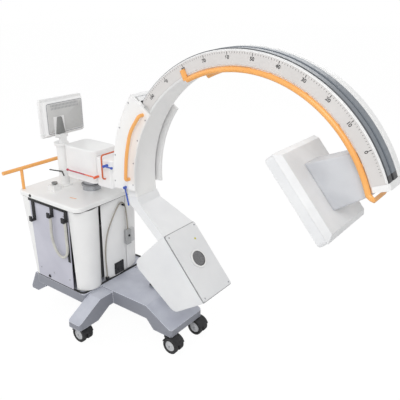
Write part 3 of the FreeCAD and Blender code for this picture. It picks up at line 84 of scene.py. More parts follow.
# Cords, by the routes of their solids
SIDE_CABLE_Y = -0.2883
CABLE_RADIUS, SWITCH_CORD_RADIUS = 0.008, 0.004
SIDE_CABLE_ROUTE = [(x / 1000, SIDE_CABLE_Y, z / 1000) for x, z in (
    (-736, 675.8), (-736.5, 636), (-743, 590), (-740, 540), (-724, 492), (-698, 456), (-658, 443),
    (-624, 466), (-611, 508), (-612, 554), (-611.5, 602), (-612, 650), (-612, 675.8))]
SWITCH_CORD_ROUTE = [(x / 1000, y / 1000, z / 1000) for x, y, z in (
    (-528, 105, 515), (-528, 104, 560), (-526, 98, 625), (-523, 88, 678), (-520, 66, 710), (-517, 34, 706),
    (-516, 4, 674), (-518, -26, 630), (-523, -54, 576), (-530, -70, 516), (-535, -76, 450), (-540, -77, 384),
    (-542, -72, 318), (-542, -72, 262))]


def cord_curve(name, route, radius, node, jacket):
    """A limp cable as one smooth spline whose control points are the route's points."""
    curve = bpy.data.curves.new(name, "CURVE")
    curve.dimensions = "3D"
    spline = curve.splines.new("NURBS")
    spline.points.add(len(route) - 1)
    for control, place in zip(spline.points, route):
        control.co = (*place, 1)
    spline.use_endpoint_u = True
    spline.order_u = 3
    spline.resolution_u = 8
    curve.bevel_depth = radius
    curve.bevel_resolution = 4
    curve.use_fill_caps = True
    curve.materials.append(bpy.data.materials.new(jacket))
    piece = bpy.data.objects.new(name, curve)
    bpy.context.scene.collection.objects.link(piece)
    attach(piece, "base")
    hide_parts(node)


cord_curve("side_cable_loop", SIDE_CABLE_ROUTE, CABLE_RADIUS, "side_cable", "cable_jacket")
cord_curve("switch_cord", SWITCH_CORD_ROUTE, SWITCH_CORD_RADIUS, "hand_switch_cord", "switch_cord_jacket")

# Finishes
ALONG_X, ACROSS_Y = (1.0, 0.0, 0.0), (0.0, 1.0, 0.0)
NOISE_LOW, NOISE_HIGH = 0.35, 0.65
EDGE_FLAT, EDGE_SHARP = 0.96, 0.80
# A casting's painted side shade: none at the first upward normal, full at the second
SIDE_SHADE_LEVEL, SIDE_SHADE_STEEP = 0.75, 0.2
BEVEL_SAMPLES = 4
LEVER_PARTING = -0.618
DETECTOR_ARM_START = 0.409
BAND_NEAR, BAND_SHADE, BAND_FAR = -0.0738, -0.0670, 0.026
BAND_RADIUS = 0.6985
BAND_END_WAY, BAND_END_REACH = math.radians(64.03), -0.6553


def shade(colour):
    """A colour read as 0 to 255 from a screen, as the renderer's linear light."""
    channel = np.array(colour) / 255
    linear = np.where(channel <= 0.04045, channel / 12.92, ((channel + 0.055) / 1.055) ** 2.4)
    return (*[float(c) for c in linear], 1.0)


def paler(colour):
    """A screen colour with each channel 46 steps nearer to white."""
    return [min(255, channel + 46) for channel in colour]


def darker(colour, share):
    """A screen colour with each channel taken down to a share of itself."""
    return [channel * share for channel in colour]


class Finish:
    """One material under construction: its node tree, its shader and the place on the piece."""

    def __init__(self, name):
        self.material = bpy.data.materials.get(name) or bpy.data.materials.new(name)
        self.material.use_nodes = True
        self.tree = self.material.node_tree
        self.shader = self.tree.nodes["Principled BSDF"]
        self.place = self.node("ShaderNodeTexCoord").outputs["Object"]

    def feed(self, socket, value):
        """Link another node's output to a socket, or set a plain value on it."""
        if isinstance(value, bpy.types.NodeSocket):
            self.tree.links.new(value, socket)
        else:
            socket.default_value = value

    def node(self, kind, inputs=None, **settings):
        """A new node with its settings made and then its inputs fed."""
        made = self.tree.nodes.new(kind)
        for key, value in settings.items():
            setattr(made, key, value)
        for socket, value in (inputs or {}).items():
            self.feed(made.inputs[socket], value)
        return made

    def maths(self, operation, first, second):
        """One step of arithmetic on two values. A comparison gives one or nought."""
        return self.node("ShaderNodeMath", {0: first, 1: second}, operation=operation).outputs[0]

    def vector_maths(self, operation, first, second=(0.0, 0.0, 0.0)):
        """One step of arithmetic on two vectors. A length and a dot product come out as a plain value."""
        made = self.node("ShaderNodeVectorMath", {0: first, 1: second}, operation=operation)
        return made.outputs["Value" if operation in ("LENGTH", "DOT_PRODUCT") else "Vector"]

    def remap(self, value, first, last, low, high):
        """Carry a value's run from first to last over to low to high, and hold it at both ends."""
        return self.node("ShaderNodeMapRange", {"Value": value, "From Min": first, "From Max": last,
                                                "To Min": low, "To Max": high}).outputs["Result"]

    def mix(self, amount, first, second):
        """The first colour where the amount is nought, the second where it is one."""
        return self.node("ShaderNodeMix", {0: amount, 6: first, 7: second}, data_type="RGBA").outputs[2]

    def noise(self, scale, detail=2.0, place=None):
        """Cloudy noise that stays near one half; a larger scale makes it finer."""
        made = self.node("ShaderNodeTexNoise", {"Vector": place or self.place, "Scale": scale,
                                                "Detail": detail})
        return made.outputs["Fac"]

    def spread(self, value, low=0.0, high=1.0):
        """Stretch a noise value, which stays near one half, to the range from low to high."""
        return self.remap(value, NOISE_LOW, NOISE_HIGH, low, high)

    def edges(self, radius):
        """One where an edge is nearer than the radius, nought on the flats: how far a rounded normal turns
        away from the true one."""
        rounded = self.node("ShaderNodeBevel", {"Radius": radius}, samples=BEVEL_SAMPLES).outputs["Normal"]
        true = self.node("ShaderNodeNewGeometry").outputs["Normal"]
        return self.remap(self.vector_maths("DOT_PRODUCT", rounded, true), EDGE_FLAT, EDGE_SHARP, 0.0, 1.0)

    def beyond(self, way, limit):
        """One where the place on the piece lies beyond a limit along a direction, nought before it."""
        return self.maths("GREATER_THAN", self.vector_maths("DOT_PRODUCT", self.place, way), limit)

    def outside(self, radius):
        """One where the place lies further than a radius from the C's own cross axis, nought within it."""
        arm = self.vector_maths("SUBTRACT", self.place, tuple(C_CENTRE))
        flat = self.vector_maths("MULTIPLY", arm, (1.0, 0.0, 1.0))
        return self.maths("GREATER_THAN", self.vector_maths("LENGTH", flat), radius)

    def colour(self, value):
        """Give the shader its colour."""
        self.feed(self.shader.inputs["Base Color"], value)

    def rough(self, value):
        """Give the shader its roughness."""
        self.feed(self.shader.inputs["Roughness"], value)

    def relief(self, height, strength, depth, radius=0.0):
        """Raise the skin by a pattern of heights, on normals rounded at the edges if a radius is given."""
        bump = self.node("ShaderNodeBump", {"Height": height, "Strength": strength, "Distance": depth})
        if radius:
            rounded = self.node("ShaderNodeBevel", {"Radius": radius}, samples=BEVEL_SAMPLES)
            self.feed(bump.inputs["Normal"], rounded.outputs["Normal"])
        self.feed(self.shader.inputs["Normal"], bump.outputs["Normal"])


def moulded(name, colour, shadow, roughness=0.38, grain=900, clear=0.0):
    """Moulded or painted skin: faint clouding, a fine orange-peel grain and uneven gloss."""
    finish = Finish(name)
    cloud = finish.spread(finish.noise(5.0, 3.0))
    finish.colour(finish.mix(cloud, shade(shadow), shade(colour)))
    finish.rough(finish.spread(finish.noise(60.0), roughness - 0.06, roughness + 0.06))
    finish.relief(finish.noise(grain), strength=0.10, depth=0.0006, radius=0.002)
    finish.shader.inputs["Coat Weight"].default_value = clear
    finish.shader.inputs["Coat Roughness"].default_value = 0.25
    return finish


def metal(name, colour, roughness, direction, bite=0.3):
    """Drawn or brushed metal: noise stretched along the tool's direction."""
    finish = Finish(name)
    stretch = finish.node("ShaderNodeMapping", {"Vector": finish.place, "Scale": direction})
    brushed = finish.noise(220.0, 4.0, stretch.outputs["Vector"])
    finish.colour(finish.mix(finish.spread(brushed), shade(darker(colour, 0.88)), shade(colour)))
    finish.rough(finish.spread(brushed, roughness - 0.08, roughness + 0.08))
    finish.relief(brushed, strength=bite, depth=0.0003)
    finish.shader.inputs["Metallic"].default_value = 1.0
    return finish


def casting(name, colour, worn_and_edge_highlight):
    """Painted casting: a pebbled paint with painted shade on faces that point less upward and a painted
    highlight on its edges.
    """
    finish = Finish(name)
    rub = finish.spread(finish.noise(9.0, 5.0))
    body = finish.mix(rub, shade(colour), shade(worn_and_edge_highlight))
    # Painted shade: faces that point less upward are mixed towards a darker copy of the colour
    normal = finish.node("ShaderNodeNewGeometry").outputs["Normal"]
    upward = finish.node("ShaderNodeSeparateXYZ", {"Vector": normal}).outputs["Z"]
    painted_side_shade = finish.remap(upward, SIDE_SHADE_LEVEL, SIDE_SHADE_STEEP, 0.0, 1.0)
    body = finish.mix(painted_side_shade, body, shade(darker(colour, 0.78)))
    # Painted highlight: edges are mixed towards a paler copy of the second colour
    finish.colour(finish.mix(finish.edges(0.007), body, shade(paler(worn_and_edge_highlight))))
    finish.rough(finish.spread(finish.noise(90.0), 0.38, 0.55))
    finish.relief(finish.noise(520.0, 4.0), strength=0.22, depth=0.0008, radius=0.004)
    return finish


def rubber(name, colour, grain=700, roughness=0.7):
    """Matt rubber or moulded black plastic with a pebbled skin and dusty patches."""
    finish = Finish(name)
    dust = finish.spread(finish.noise(26.0, 4.0), 0.0, 0.25)
    finish.colour(finish.mix(dust, shade(colour), shade(paler(colour))))
    finish.rough(finish.spread(finish.noise(140.0), roughness - 0.08, roughness + 0.08))
    finish.relief(finish.noise(grain, 3.0), strength=0.3, depth=0.0006)
    return finish


def two_tone(name, rear, front, parting):
    """Painted lever whose front run is another colour than its rear run, parted square to X."""
    finish = moulded(name, rear, darker(rear, 0.92), roughness=0.3, grain=1400, clear=0.4)
    finish.colour(finish.mix(finish.beyond(ALONG_X, parting), shade(rear), shade(front)))
    return finish


def detector_back():
    """The detector's rear shell, with painted shade making its arm a darker grey from where it leaves the
    shell.
    """
    finish = moulded("detector_with_arm_painted_shade", (232, 233, 234), (224, 225, 227), roughness=0.42)
    cloud = finish.spread(finish.noise(7.0, 4.0))
    # Painted shade: the arm's greys are darker than the shell's
    arm = finish.mix(cloud, shade((190, 192, 197)), shade((206, 208, 212)))
    shell = finish.mix(cloud, shade((222, 223, 224)), shade((234, 235, 236)))
    arm_painted_shade = finish.beyond(tuple(BEAM_WAY), float(C_CENTRE @ BEAM_WAY) + DETECTOR_ARM_START)
    finish.colour(finish.mix(arm_painted_shade, shell, arm))
    return finish


def rim_band():
    """White profile whose outer rim carries a brushed slate band from its near edge to past its middle: the
    band is where the place lies between two limits across the rim and outside a radius. Its near edge is
    darker, and its end is black, beyond a limit along the way that the track's end faces."""
    finish = moulded("rim_white_and_slate", (241, 241, 240), (235, 235, 235), clear=0.1)
    from_near = finish.beyond(ACROSS_Y, BAND_NEAR)
    before_far = finish.maths("SUBTRACT", 1.0, finish.beyond(ACROSS_Y, BAND_FAR))
    across = finish.maths("MULTIPLY", from_near, before_far)
    band = finish.maths("MULTIPLY", across, finish.outside(BAND_RADIUS))
    brushed = finish.spread(finish.noise(240.0, 3.0))
    slate = finish.mix(brushed, shade((98, 105, 113)), shade((112, 119, 128)))
    slate = finish.mix(finish.beyond(ACROSS_Y, BAND_SHADE), shade((62, 66, 71)), slate)
    end_way = (math.cos(BAND_END_WAY), 0.0, -math.sin(BAND_END_WAY))
    slate = finish.mix(finish.beyond(end_way, BAND_END_REACH), slate, shade((34, 35, 38)))
    cloud = finish.spread(finish.noise(5.0, 3.0))
    white = finish.mix(cloud, shade((235, 235, 235)), shade((241, 241, 240)))
    finish.colour(finish.mix(band, white, slate))
    return finish


def window_mottle():
    """The beam window: a speckled dark laminate under a clear skin."""
    finish = Finish("beam_window_laminate")
    specks = finish.spread(finish.noise(420.0, 6.0))
    finish.colour(finish.mix(specks, shade((78, 78, 80)), shade((132, 132, 133))))
    finish.rough(0.35)
    finish.relief(specks, strength=0.15, depth=0.0004)
    return finish


def glass_front():
    """The display's glass: near black and glossy, with faint smears."""
    finish = Finish("display_glass")
    smear = finish.spread(finish.noise(14.0, 5.0))
    finish.colour(finish.mix(smear, shade((14, 15, 18)), shade((24, 26, 30))))
    finish.rough(finish.spread(finish.noise(30.0), 0.06, 0.16))
    return finish


WHITE = moulded("white_moulding", (241, 241, 240), (235, 235, 235), clear=0.3).material
TANK_WHITE = moulded("tank_white", (232, 233, 234), (225, 226, 228), clear=0.2).material
VIOLET = moulded("violet_panel_paint", (198, 198, 209), (188, 188, 200), roughness=0.42, grain=700).material
DETECTOR = moulded("detector_pale_grey", (232, 233, 234), (226, 227, 229), roughness=0.42).material
DETECTOR_BACK = detector_back().material
BACK_PANEL = moulded("monitor_back_panel", (212, 212, 210), (196, 196, 195), roughness=0.5).material
CAST = casting("base_cast_grey", (178, 181, 193), (194, 197, 207)).material
ORANGE = moulded("orange_powder_coat", (246, 178, 98), (240, 168, 86), roughness=0.36, grain=1400,
                 clear=0.35).material
BURNT = moulded("burnt_orange_paint", (206, 96, 44), (196, 86, 38), roughness=0.34, grain=1400,
                clear=0.3).material
CRIMSON = two_tone("crimson_paint", (178, 20, 60), (226, 96, 48), LEVER_PARTING).material
BLUE = moulded("lever_blue_paint", (36, 78, 178), (30, 66, 160), roughness=0.3, grain=1400,
               clear=0.4).material
SLATE = metal("slate_anodised_track", (128, 136, 146), 0.42, (1.0, 6.0, 1.0), bite=0.15).material
SCALE = moulded("scale_plate", (216, 213, 211), (210, 207, 205), roughness=0.4, grain=1600).material
STEEL = metal("brushed_steel", (190, 192, 196), 0.32, (8.0, 8.0, 0.4)).material
INNER = casting("inner_zinc_plate", (150, 150, 152), (165, 165, 166)).material
BLACK = rubber("black_plastic", (24, 24, 27)).material
GASKET = rubber("black_gasket", (20, 20, 21), grain=500, roughness=0.8).material
TREAD = rubber("wheel_tread_rubber", (22, 22, 23), grain=900, roughness=0.6).material
DISC = moulded("wheel_disc_grey", (198, 199, 201), (188, 189, 192), roughness=0.4).material
CABLE = rubber("cable_jacket", (190, 189, 182), grain=1200, roughness=0.5).material
WINDOW = window_mottle().material
GLASS = glass_front().material
INK = rubber("printed_ink", (38, 38, 40), grain=300, roughness=0.6).material
SWITCH_GREY = moulded("switch_grey", (176, 177, 178), (166, 167, 168), roughness=0.45).material
CORD_GREY = rubber("switch_cord_jacket", (150, 144, 134), grain=1200, roughness=0.55).material
HOLDER = moulded("holder_grey", (206, 207, 208), (198, 199, 200), roughness=0.45).material
SCREW = metal("screw_zinc", (176, 178, 182), 0.36, (3.0, 3.0, 3.0), bite=0.2).material
LAMP = moulded("lamp_lens_yellow", (206, 198, 70), (186, 184, 60), roughness=0.2, grain=1400,
               clear=0.6).material
RIM = rim_band().material
BEAD_GREY = rubber("cover_bead_grey", (140, 141, 143), grain=600, roughness=0.6).material
BRACKET_GREY = rubber("bracket_grey", (120, 121, 120), grain=600, roughness=0.5).material
SHADOW_GREY = rubber("seam_shadow", (150, 151, 154), grain=600).material

# The solids' finishes: by their slot in the record, and a few nodes' own
SLOT_FINISHES = {
    "white_cover": WHITE, "violet_panel": VIOLET, "cast_grey": CAST, "dark_rubber": GASKET,
    "black_plastic": BLACK, "orange_grip": ORANGE, "burnt_orange": BURNT, "crimson": CRIMSON,
    "lever_blue": BLUE, "track_slate": SLATE, "scale_silver": SCALE, "steel": STEEL, "window_grey": WINDOW,
    "detector_grey": DETECTOR, "screen_glass": GLASS, "cable_grey": CABLE, "wheel_tread": TREAD,
    "inner_metal": INNER,
}
OWN_FINISHES = {
    "c_profile": RIM, "outer_track": RIM, "cable_duct_cover": RIM, "tank_shell": TANK_WHITE,
    "tank_inner_cover": TANK_WHITE, "tube_arm": TANK_WHITE, "detector_shell": DETECTOR_BACK,
    "hand_switch": SWITCH_GREY, "hand_switch_cord": CORD_GREY, "monitor_post": WHITE,
    "stop_button": BRACKET_GREY,
}
node_slots = {row["node"]: row["material_slot"] for row in frame["record"]["subparts"]}
for name, piece in frame["nodes"].items():
    piece.data.materials.clear()
    piece.data.materials.append(OWN_FINISHES.get(name) or SLOT_FINISHES[node_slots[name]])


# Surfaces
def placed(name, mesh, body):
    """Put a finished mesh on its body."""
    piece = bpy.data.objects.new(name, mesh)
    bpy.context.scene.collection.objects.link(piece)
    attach(piece, body)


def surface(name, grid, finish, body, wrap_u=False, wrap_v=False, smooth=True):
    """A mesh of quads between neighbours on a grid of points, rows by columns by three. Where asked, the
    last row or column is joined round to the first."""
    rows, columns = grid.shape[:2]
    index = np.arange(rows * columns).reshape(rows, columns)
    if wrap_u:
        index = np.vstack([index, index[:1]])
    if wrap_v:
        index = np.hstack([index, index[:, :1]])
    quads = np.stack([index[:-1, :-1], index[1:, :-1], index[1:, 1:], index[:-1, 1:]], -1).reshape(-1, 4)
    mesh = bpy.data.meshes.new(name)
    mesh.from_pydata(grid.reshape(-1, 3).tolist(), [], quads.tolist())
    mesh.polygons.foreach_set("use_smooth", np.full(len(quads), smooth))
    mesh.materials.append(finish)
    mesh.update()
    placed(name, mesh, body)


def tiles(name, corners, finish, body):
    """Separate flat quads from an array of quads by four corners by three."""
    count = len(corners)
    mesh = bpy.data.meshes.new(name)
    mesh.from_pydata(corners.reshape(-1, 3).tolist(), [], np.arange(count * 4).reshape(count, 4).tolist())
    mesh.materials.append(finish)
    mesh.update()
    placed(name, mesh, body)


def lathe(name, profile, centre, axis, finish, body, turns=48):
    """A profile of (radius, height) rows turned about an axis through the centre: each row's ring is the
    cosine and sine of the turn along two directions square to the axis."""
    axis = np.array(axis, float)
    askew = [0.31, 0.52, 0.79]
    side = np.cross(axis, askew)
    side /= np.linalg.norm(side)
    other = np.cross(axis, side)
    angle = np.linspace(0, 2 * np.pi, turns, endpoint=False)
    ring = np.cos(angle)[:, None] * side + np.sin(angle)[:, None] * other
    radius, height = np.array(profile, float).T
    grid = np.array(centre) + radius[:, None, None] * ring[None] + height[:, None, None] * axis
    surface(name, grid, finish, body, wrap_v=True)


def tube_grid(path, radius, around, shut=False):
    """A round tube: each point of the path carries a ring square to the path's own direction. The ring's
    first spoke is the point before's, less its part along the path, so that the tube doesn't twist."""
    path = np.array(path, float)
    if shut:
        ahead = np.roll(path, -1, 0) - np.roll(path, 1, 0)
    else:
        ahead = np.gradient(path, axis=0)
    ahead /= np.linalg.norm(ahead, axis=1)[:, None]
    askew = [0.2, 0.5, 0.8]
    side = np.cross(ahead[0], askew)
    sides = np.empty_like(path)
    for row, way in enumerate(ahead):
        side = side - way * (side @ way)
        side = side / np.linalg.norm(side)
        sides[row] = side
    others = np.cross(ahead, sides)
    angle = np.linspace(0, 2 * np.pi, around, endpoint=False)[None, :, None]
    return path[:, None] + radius * (np.cos(angle) * sides[:, None] + np.sin(angle) * others[:, None])


def rounded_loop(half_wide, half_high, corner):
    """A rounded rectangle as points (across, up): four quarter circles, with straight sides between them."""
    quarter = np.linspace(0, np.pi / 2, 24)
    parts = []
    for turn, (right, top) in enumerate(((1, 1), (-1, 1), (-1, -1), (1, -1))):
        angle = quarter + turn * np.pi / 2
        parts.append(np.stack([right * (half_wide - corner) + corner * np.cos(angle),
                               top * (half_high - corner) + corner * np.sin(angle)], -1))
    return np.vstack(parts)


def lofted_plate(name, levels, place, finish, body):
    """Rounded rectangles stacked along a direction, each level (out, half wide, half high, corner), the last
    one closed to its middle. place turns rows of (out, across, up) into the stand's own frame."""
    loops = []
    for out, wide, high, corner in levels:
        loop = rounded_loop(wide, high, corner)
        loops.append(np.column_stack([np.full(len(loop), out), loop]))
    last_out = levels[-1][0]
    loops.append(np.tile([[last_out, 0.0, 0.0]], (len(loops[0]), 1)))
    surface(name, np.array([place(loop) for loop in loops]), finish, body, wrap_v=True)


def square_to_x(x, y, z):
    """A placing for plates: out goes along X, across along Y and up along Z, from a point."""
    return lambda rows: rows + np.array([x, y, z])


def on_c(radius, angle, y):
    """Points by radius, angle in degrees round the C's centre, and Y."""
    angle = np.radians(np.asarray(angle, float))
    radius, angle, y = np.broadcast_arrays(np.asarray(radius, float), angle, np.asarray(y, float))
    return np.stack([C_CENTRE[0] + radius * np.cos(angle), y, C_CENTRE[2] + radius * np.sin(angle)], -1)


def on_beam(distance, drop, side):
    """A point by its distance along the beam from the C's centre, its drop square to the beam and its Y."""
    return C_CENTRE + BEAM_WAY * distance + BEAM_DOWN * drop + np.array([0.0, side, 0.0])


# Scale marks on the C
SCALE_FACE, SCALE_OUTER = 0.082, 0.697
SCALE_FIRST, SCALE_LAST = 22.0, 143.0
INK_PROUD = 0.00035
TICK_INSET, TICK_STEP, TICK_REACH, TICK_HALF = 0.0035, 1.04, 0.0065, 0.055
TENTHS, TENTH_START, TENTH_STEP, TENTH_REACH, TENTH_HALF = 11, 11.4, 10.4, 0.013, 0.11
NUMBER_RADIUS, NUMBER_SIZE, NUMBER_WEIGHT = 0.6705, 0.021, 0.0006


def scale_marks():
    """Fine ticks inward from the plate's outer edge, with a longer tick and a plain number at each tenth, on
    both faces. A tick's corners are its middle angle less and plus its half width, at two radii."""
    tenths = SCALE_FIRST + TENTH_START + TENTH_STEP * np.arange(TENTHS)
    fine = np.arange(SCALE_FIRST + 3, SCALE_LAST - 2, TICK_STEP)
    middle = np.concatenate([fine, tenths])
    reach = np.concatenate([np.full(len(fine), TICK_REACH), np.full(len(tenths), TENTH_REACH)])
    half = np.concatenate([np.full(len(fine), TICK_HALF), np.full(len(tenths), TENTH_HALF)])
    outer = SCALE_OUTER - TICK_INSET
    for side, word in SIDES:
        y = side * (SCALE_FACE + INK_PROUD)
        corners = np.stack([on_c(outer, middle - half, y), on_c(outer, middle + half, y),
                            on_c(outer - reach, middle + half, y), on_c(outer - reach, middle - half, y)], 1)
        if side > 0:
            corners = corners[:, ::-1]
        tiles("scale_ticks_" + word, corners, INK, "c_arm")
        for count, angle in enumerate(tenths):
            number_plate(f"scale_number_{word}_{count}", str(count * 10), angle, y, side)


def number_plate(name, words, angle, y, side):
    """A plain number printed square to the arc: its digits' flat shape, turned by its angle less a right
    angle and read from outside. It is made a mesh before its place is applied."""
    text = bpy.data.curves.new(name, "FONT")
    text.body = words
    text.size = NUMBER_SIZE
    text.align_x = "CENTER"
    text.align_y = "CENTER"
    text.offset = NUMBER_WEIGHT
    writer = bpy.data.objects.new(name + "_text", text)
    bpy.context.scene.collection.objects.link(writer)
    bpy.context.view_layer.update()
    mesh = bpy.data.meshes.new_from_object(writer.evaluated_get(bpy.context.evaluated_depsgraph_get()))
    bpy.data.objects.remove(writer)
    flat = np.zeros(len(mesh.vertices) * 3)
    mesh.vertices.foreach_get("co", flat)
    flat = flat.reshape(-1, 3)
    across, up = flat[:, 0] * -side, flat[:, 1]
    centre = on_c(NUMBER_RADIUS, angle, y)
    turn = math.radians(angle - 90)
    moved = np.stack([centre[0] + across * math.cos(turn) - up * math.sin(turn),
                      np.full(len(flat), centre[1]),
                      centre[2] + across * math.sin(turn) + up * math.cos(turn)], -1)
    mesh.vertices.foreach_set("co", moved.ravel())
    mesh.materials.clear()
    mesh.materials.append(INK)
    mesh.update()
    placed(name, mesh, "c_arm")


# Casters, by the place of their swivel axis. A brake tab's rows are (back, height, half width)
CASTER_PLACES = {"front_near": (0, -0.110), "front_far": (0, 0.110), "side_near": (-0.480, -0.340),
                 "side_far": (-0.480, 0.340), "rear": (-0.880, 0)}
WHEEL_DISC = ((0.031, -0.0052), (0.0295, -0.0030), (0.026, -0.0042), (0.017, -0.0044), (0.0135, -0.0018),
              (0.0115, -0.0004), (0.0085, 0.0), (0.0045, -0.0008), (0.0, -0.0008))
AXLE_BOLT_RADIUS = 0.0045
BRAKE_TAB = ((-0.052, 0.050, 0.011), (-0.062, 0.046, 0.012), (-0.069, 0.043, 0.010))
TAB_THICK, TAB_LEAN = 0.005, 0.001
COLLAR = ((0.030, 0.0), (0.030, 0.004), (0.026, 0.006), (0.022, 0.006))
COLLAR_BACK, COLLAR_FOOT = 0.022, 0.0945


def wheel_faces(name):
    """The side, its word and the outer Y of each twin wheel on a caster."""
    low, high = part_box("caster_wheels_" + name)
    return [(side, word, high.y if side > 0 else low.y) for side, word in SIDES]


def wheel_discs():
    """Pale dished discs on the outer faces of each twin wheel, turned from a profile with a raised hub."""
    for name, (x, _) in CASTER_PLACES.items():
        for side, word, face in wheel_faces(name):
            lathe(f"wheel_disc_{name}_{word}", WHEEL_DISC, (x, face, WHEEL_RADIUS), (0, side, 0), DISC,
                  "wheels_" + name)


def caster_fittings():
    """On each caster an axle bolt in both discs, a brake tab at the rear, which is a thin band swept back
    and down, and a swivel collar under the plate, turned from its profile."""
    for name, (x, y) in CASTER_PLACES.items():
        for side, word, face in wheel_faces(name):
            screw(f"axle_bolt_{name}_{word}", (x, face, WHEEL_RADIUS), (0, side, 0), "wheels_" + name,
                  AXLE_BOLT_RADIUS)
        rows = [[(x + back, y - half, z), (x + back, y + half, z),
                 (x + back - TAB_LEAN, y + half, z - TAB_THICK),
                 (x + back - TAB_LEAN, y - half, z - TAB_THICK)] for back, z, half in BRAKE_TAB]
        surface("brake_tab_" + name, np.array(rows), BLACK, "caster_" + name, wrap_v=True)
        lathe("swivel_collar_" + name, COLLAR, (x - COLLAR_BACK, y, COLLAR_FOOT), (0, 0, 1), SCREW,
              "caster_" + name, turns=40)


# Monitor's back
MONITOR_BACK, MONITOR_MIDDLE = -0.883, 1.180
BACK_HALF_WIDE, BACK_HALF_HIGH, BEAD_INSET = 0.138, 0.098, 0.012
BACK_PANEL_LEVELS = ((0.0, 0.1215, 0.0815, 0.009), (0.0006, 0.1210, 0.0810, 0.009))
VENT_ROWS, VENT_REACH, VENTS_IN_ROW, VENT_PROUD = (1.236, 1.252), 0.095, 20, 0.0011
VENT_CORNERS = ((-0.0022, -0.006), (0.0022, -0.006), (0.0022, 0.006), (-0.0022, 0.006))
BRACKET_PROUD, BRACKET_SIDE, BRACKET_MIDDLE = 0.006, -0.050, 1.134
BRACKET_LEVELS = ((0.0, 0.034, 0.054, 0.008), (0.007, 0.032, 0.052, 0.008), (0.009, 0.028, 0.048, 0.007))
BRACKET_WIDTH, BRACKET_TAPER = 0.72, 5.2


def on_bracket(rows):
    """A placing for the bracket's cover, whose width shrinks with height: across is scaled by its width at
    the middle less its taper times up."""
    out, across, up = rows.T
    width = BRACKET_WIDTH - BRACKET_TAPER * up
    return np.column_stack([MONITOR_BACK + BRACKET_PROUD + out, BRACKET_SIDE + across * width,
                            up + BRACKET_MIDDLE])


def monitor_back():
    """On the back of the display a bead round its edge and two rows of flat vent slots, both in painted
    shadow grey, a plain panel and the dark cover of its bracket."""
    # Painted shadow: the bead round the panel is drawn in the seam shadow grey
    rim = rounded_loop(BACK_HALF_WIDE - BEAD_INSET, BACK_HALF_HIGH - BEAD_INSET, 0.010)
    path = np.column_stack([np.full(len(rim), MONITOR_BACK), rim[:, 0], rim[:, 1] + MONITOR_MIDDLE])
    surface("monitor_back_bead", tube_grid(path, 0.0022, 8, shut=True), SHADOW_GREY, "monitor", wrap_u=True,
            wrap_v=True)
    lofted_plate("monitor_back_panel", BACK_PANEL_LEVELS, square_to_x(MONITOR_BACK, 0.0, MONITOR_MIDDLE),
                 BACK_PANEL, "monitor")
    # Painted shade: the vent slots are flat tiles in the seam shadow grey
    vents = [[(MONITOR_BACK + VENT_PROUD, y + across, z + up) for across, up in VENT_CORNERS]
             for z in VENT_ROWS for y in np.linspace(-VENT_REACH, VENT_REACH, VENTS_IN_ROW)]
    tiles("monitor_vents", np.array(vents), SHADOW_GREY, "monitor")
    lofted_plate("monitor_bracket_cover", BRACKET_LEVELS, on_bracket, BRACKET_GREY, "monitor")


# Screws, in shares of their radius
SCREW_PROFILE = np.array([(1.0, 0.0), (1.0, 0.25), (0.86, 0.5), (0.5, 0.56), (0.45, 0.2), (0.0, 0.2)])


def screw(name, place, axis, body, radius=0.0042):
    """A pan-head screw, turned from a short dome round a sunk socket."""
    lathe(name, SCREW_PROFILE * radius, place, axis, SCREW, body, turns=20)


# Tank, by distance along the beam, drop and side
TANK_FACE = -0.458
TANK_SCREW_DROPS, TANK_SCREW_SIDES = (-0.062, 0.294), (-0.104, 0.104)
WINDOW_PLACE, LAMP_PLACE = (TANK_FACE, 0.105, 0.0), (TANK_FACE, 0.005, 0.057)
WINDOW_BEZEL = ((0.0415, 0.0), (0.0502, 0.0), (0.0496, 0.0060), (0.0480, 0.0080), (0.0428, 0.0080),
                (0.0415, 0.0064))
WINDOW_LAMINATE = ((0.0418, 0.0), (0.0418, 0.0058), (0.030, 0.0060), (0.018, 0.0062), (0.0, 0.0063))
LAMP_LENS = ((0.0062, 0.0), (0.0058, 0.0016), (0.0030, 0.0026), (0.0, 0.0028))
COVER_LEVEL, COVER_MIDDLE = -0.4682, 0.1155
COVER_HALF_WIDE, COVER_HALF_LONG, COVER_CORNER = 0.1212, 0.1940, 0.004


def tank_details():
    """On the tank's face four screws, the window's raised bezel and speckled laminate, a bead round the
    cover and a small yellow lamp. All but the bead are turned about the beam's own direction."""
    for row, drop in enumerate(TANK_SCREW_DROPS):
        for column, side in enumerate(TANK_SCREW_SIDES):
            screw(f"tank_screw_{row}_{column}", on_beam(TANK_FACE, drop, side), BEAM_WAY, "c_arm")
    window = on_beam(*WINDOW_PLACE)
    lathe("window_bezel", WINDOW_BEZEL, window, BEAM_WAY, WHITE, "c_arm", turns=72)
    lathe("window_laminate", WINDOW_LAMINATE, window, BEAM_WAY, WINDOW, "c_arm", turns=72)
    loop = rounded_loop(COVER_HALF_WIDE, COVER_HALF_LONG, COVER_CORNER)
    bead = np.array([on_beam(COVER_LEVEL, COVER_MIDDLE + up, across) for across, up in loop])
    surface("tank_cover_bead", tube_grid(bead, 0.0027, 10, shut=True), BEAD_GREY, "c_arm", wrap_u=True,
            wrap_v=True)
    lathe("tank_lamp", LAMP_LENS, on_beam(*LAMP_PLACE), BEAM_WAY, LAMP, "c_arm", turns=24)


# Hand switch's rest and the plug on the panel
REST_PLACE = (-0.540, 0.1405, 0.468)
REST_LEVELS = ((0.0, 0.0165, 0.044, 0.005), (0.014, 0.0165, 0.044, 0.005), (0.016, 0.0145, 0.042, 0.005))
PLUG_PLACE = (-0.826, NEAR_PANEL, 0.262)
PLUG = ((0.0, 0.006), (0.007, 0.0055), (0.010, 0.003), (0.010, 0.0))


def switch_rest_and_plug():
    """The pale rest beside the hand switch, a rounded block, and the dark plug low on the near panel, turned
    from its profile."""
    lofted_plate("switch_holder", REST_LEVELS, square_to_x(*REST_PLACE), HOLDER, "base")
    lathe("panel_plug", PLUG, PLUG_PLACE, (0, -1, 0), BLACK, "base", turns=24)


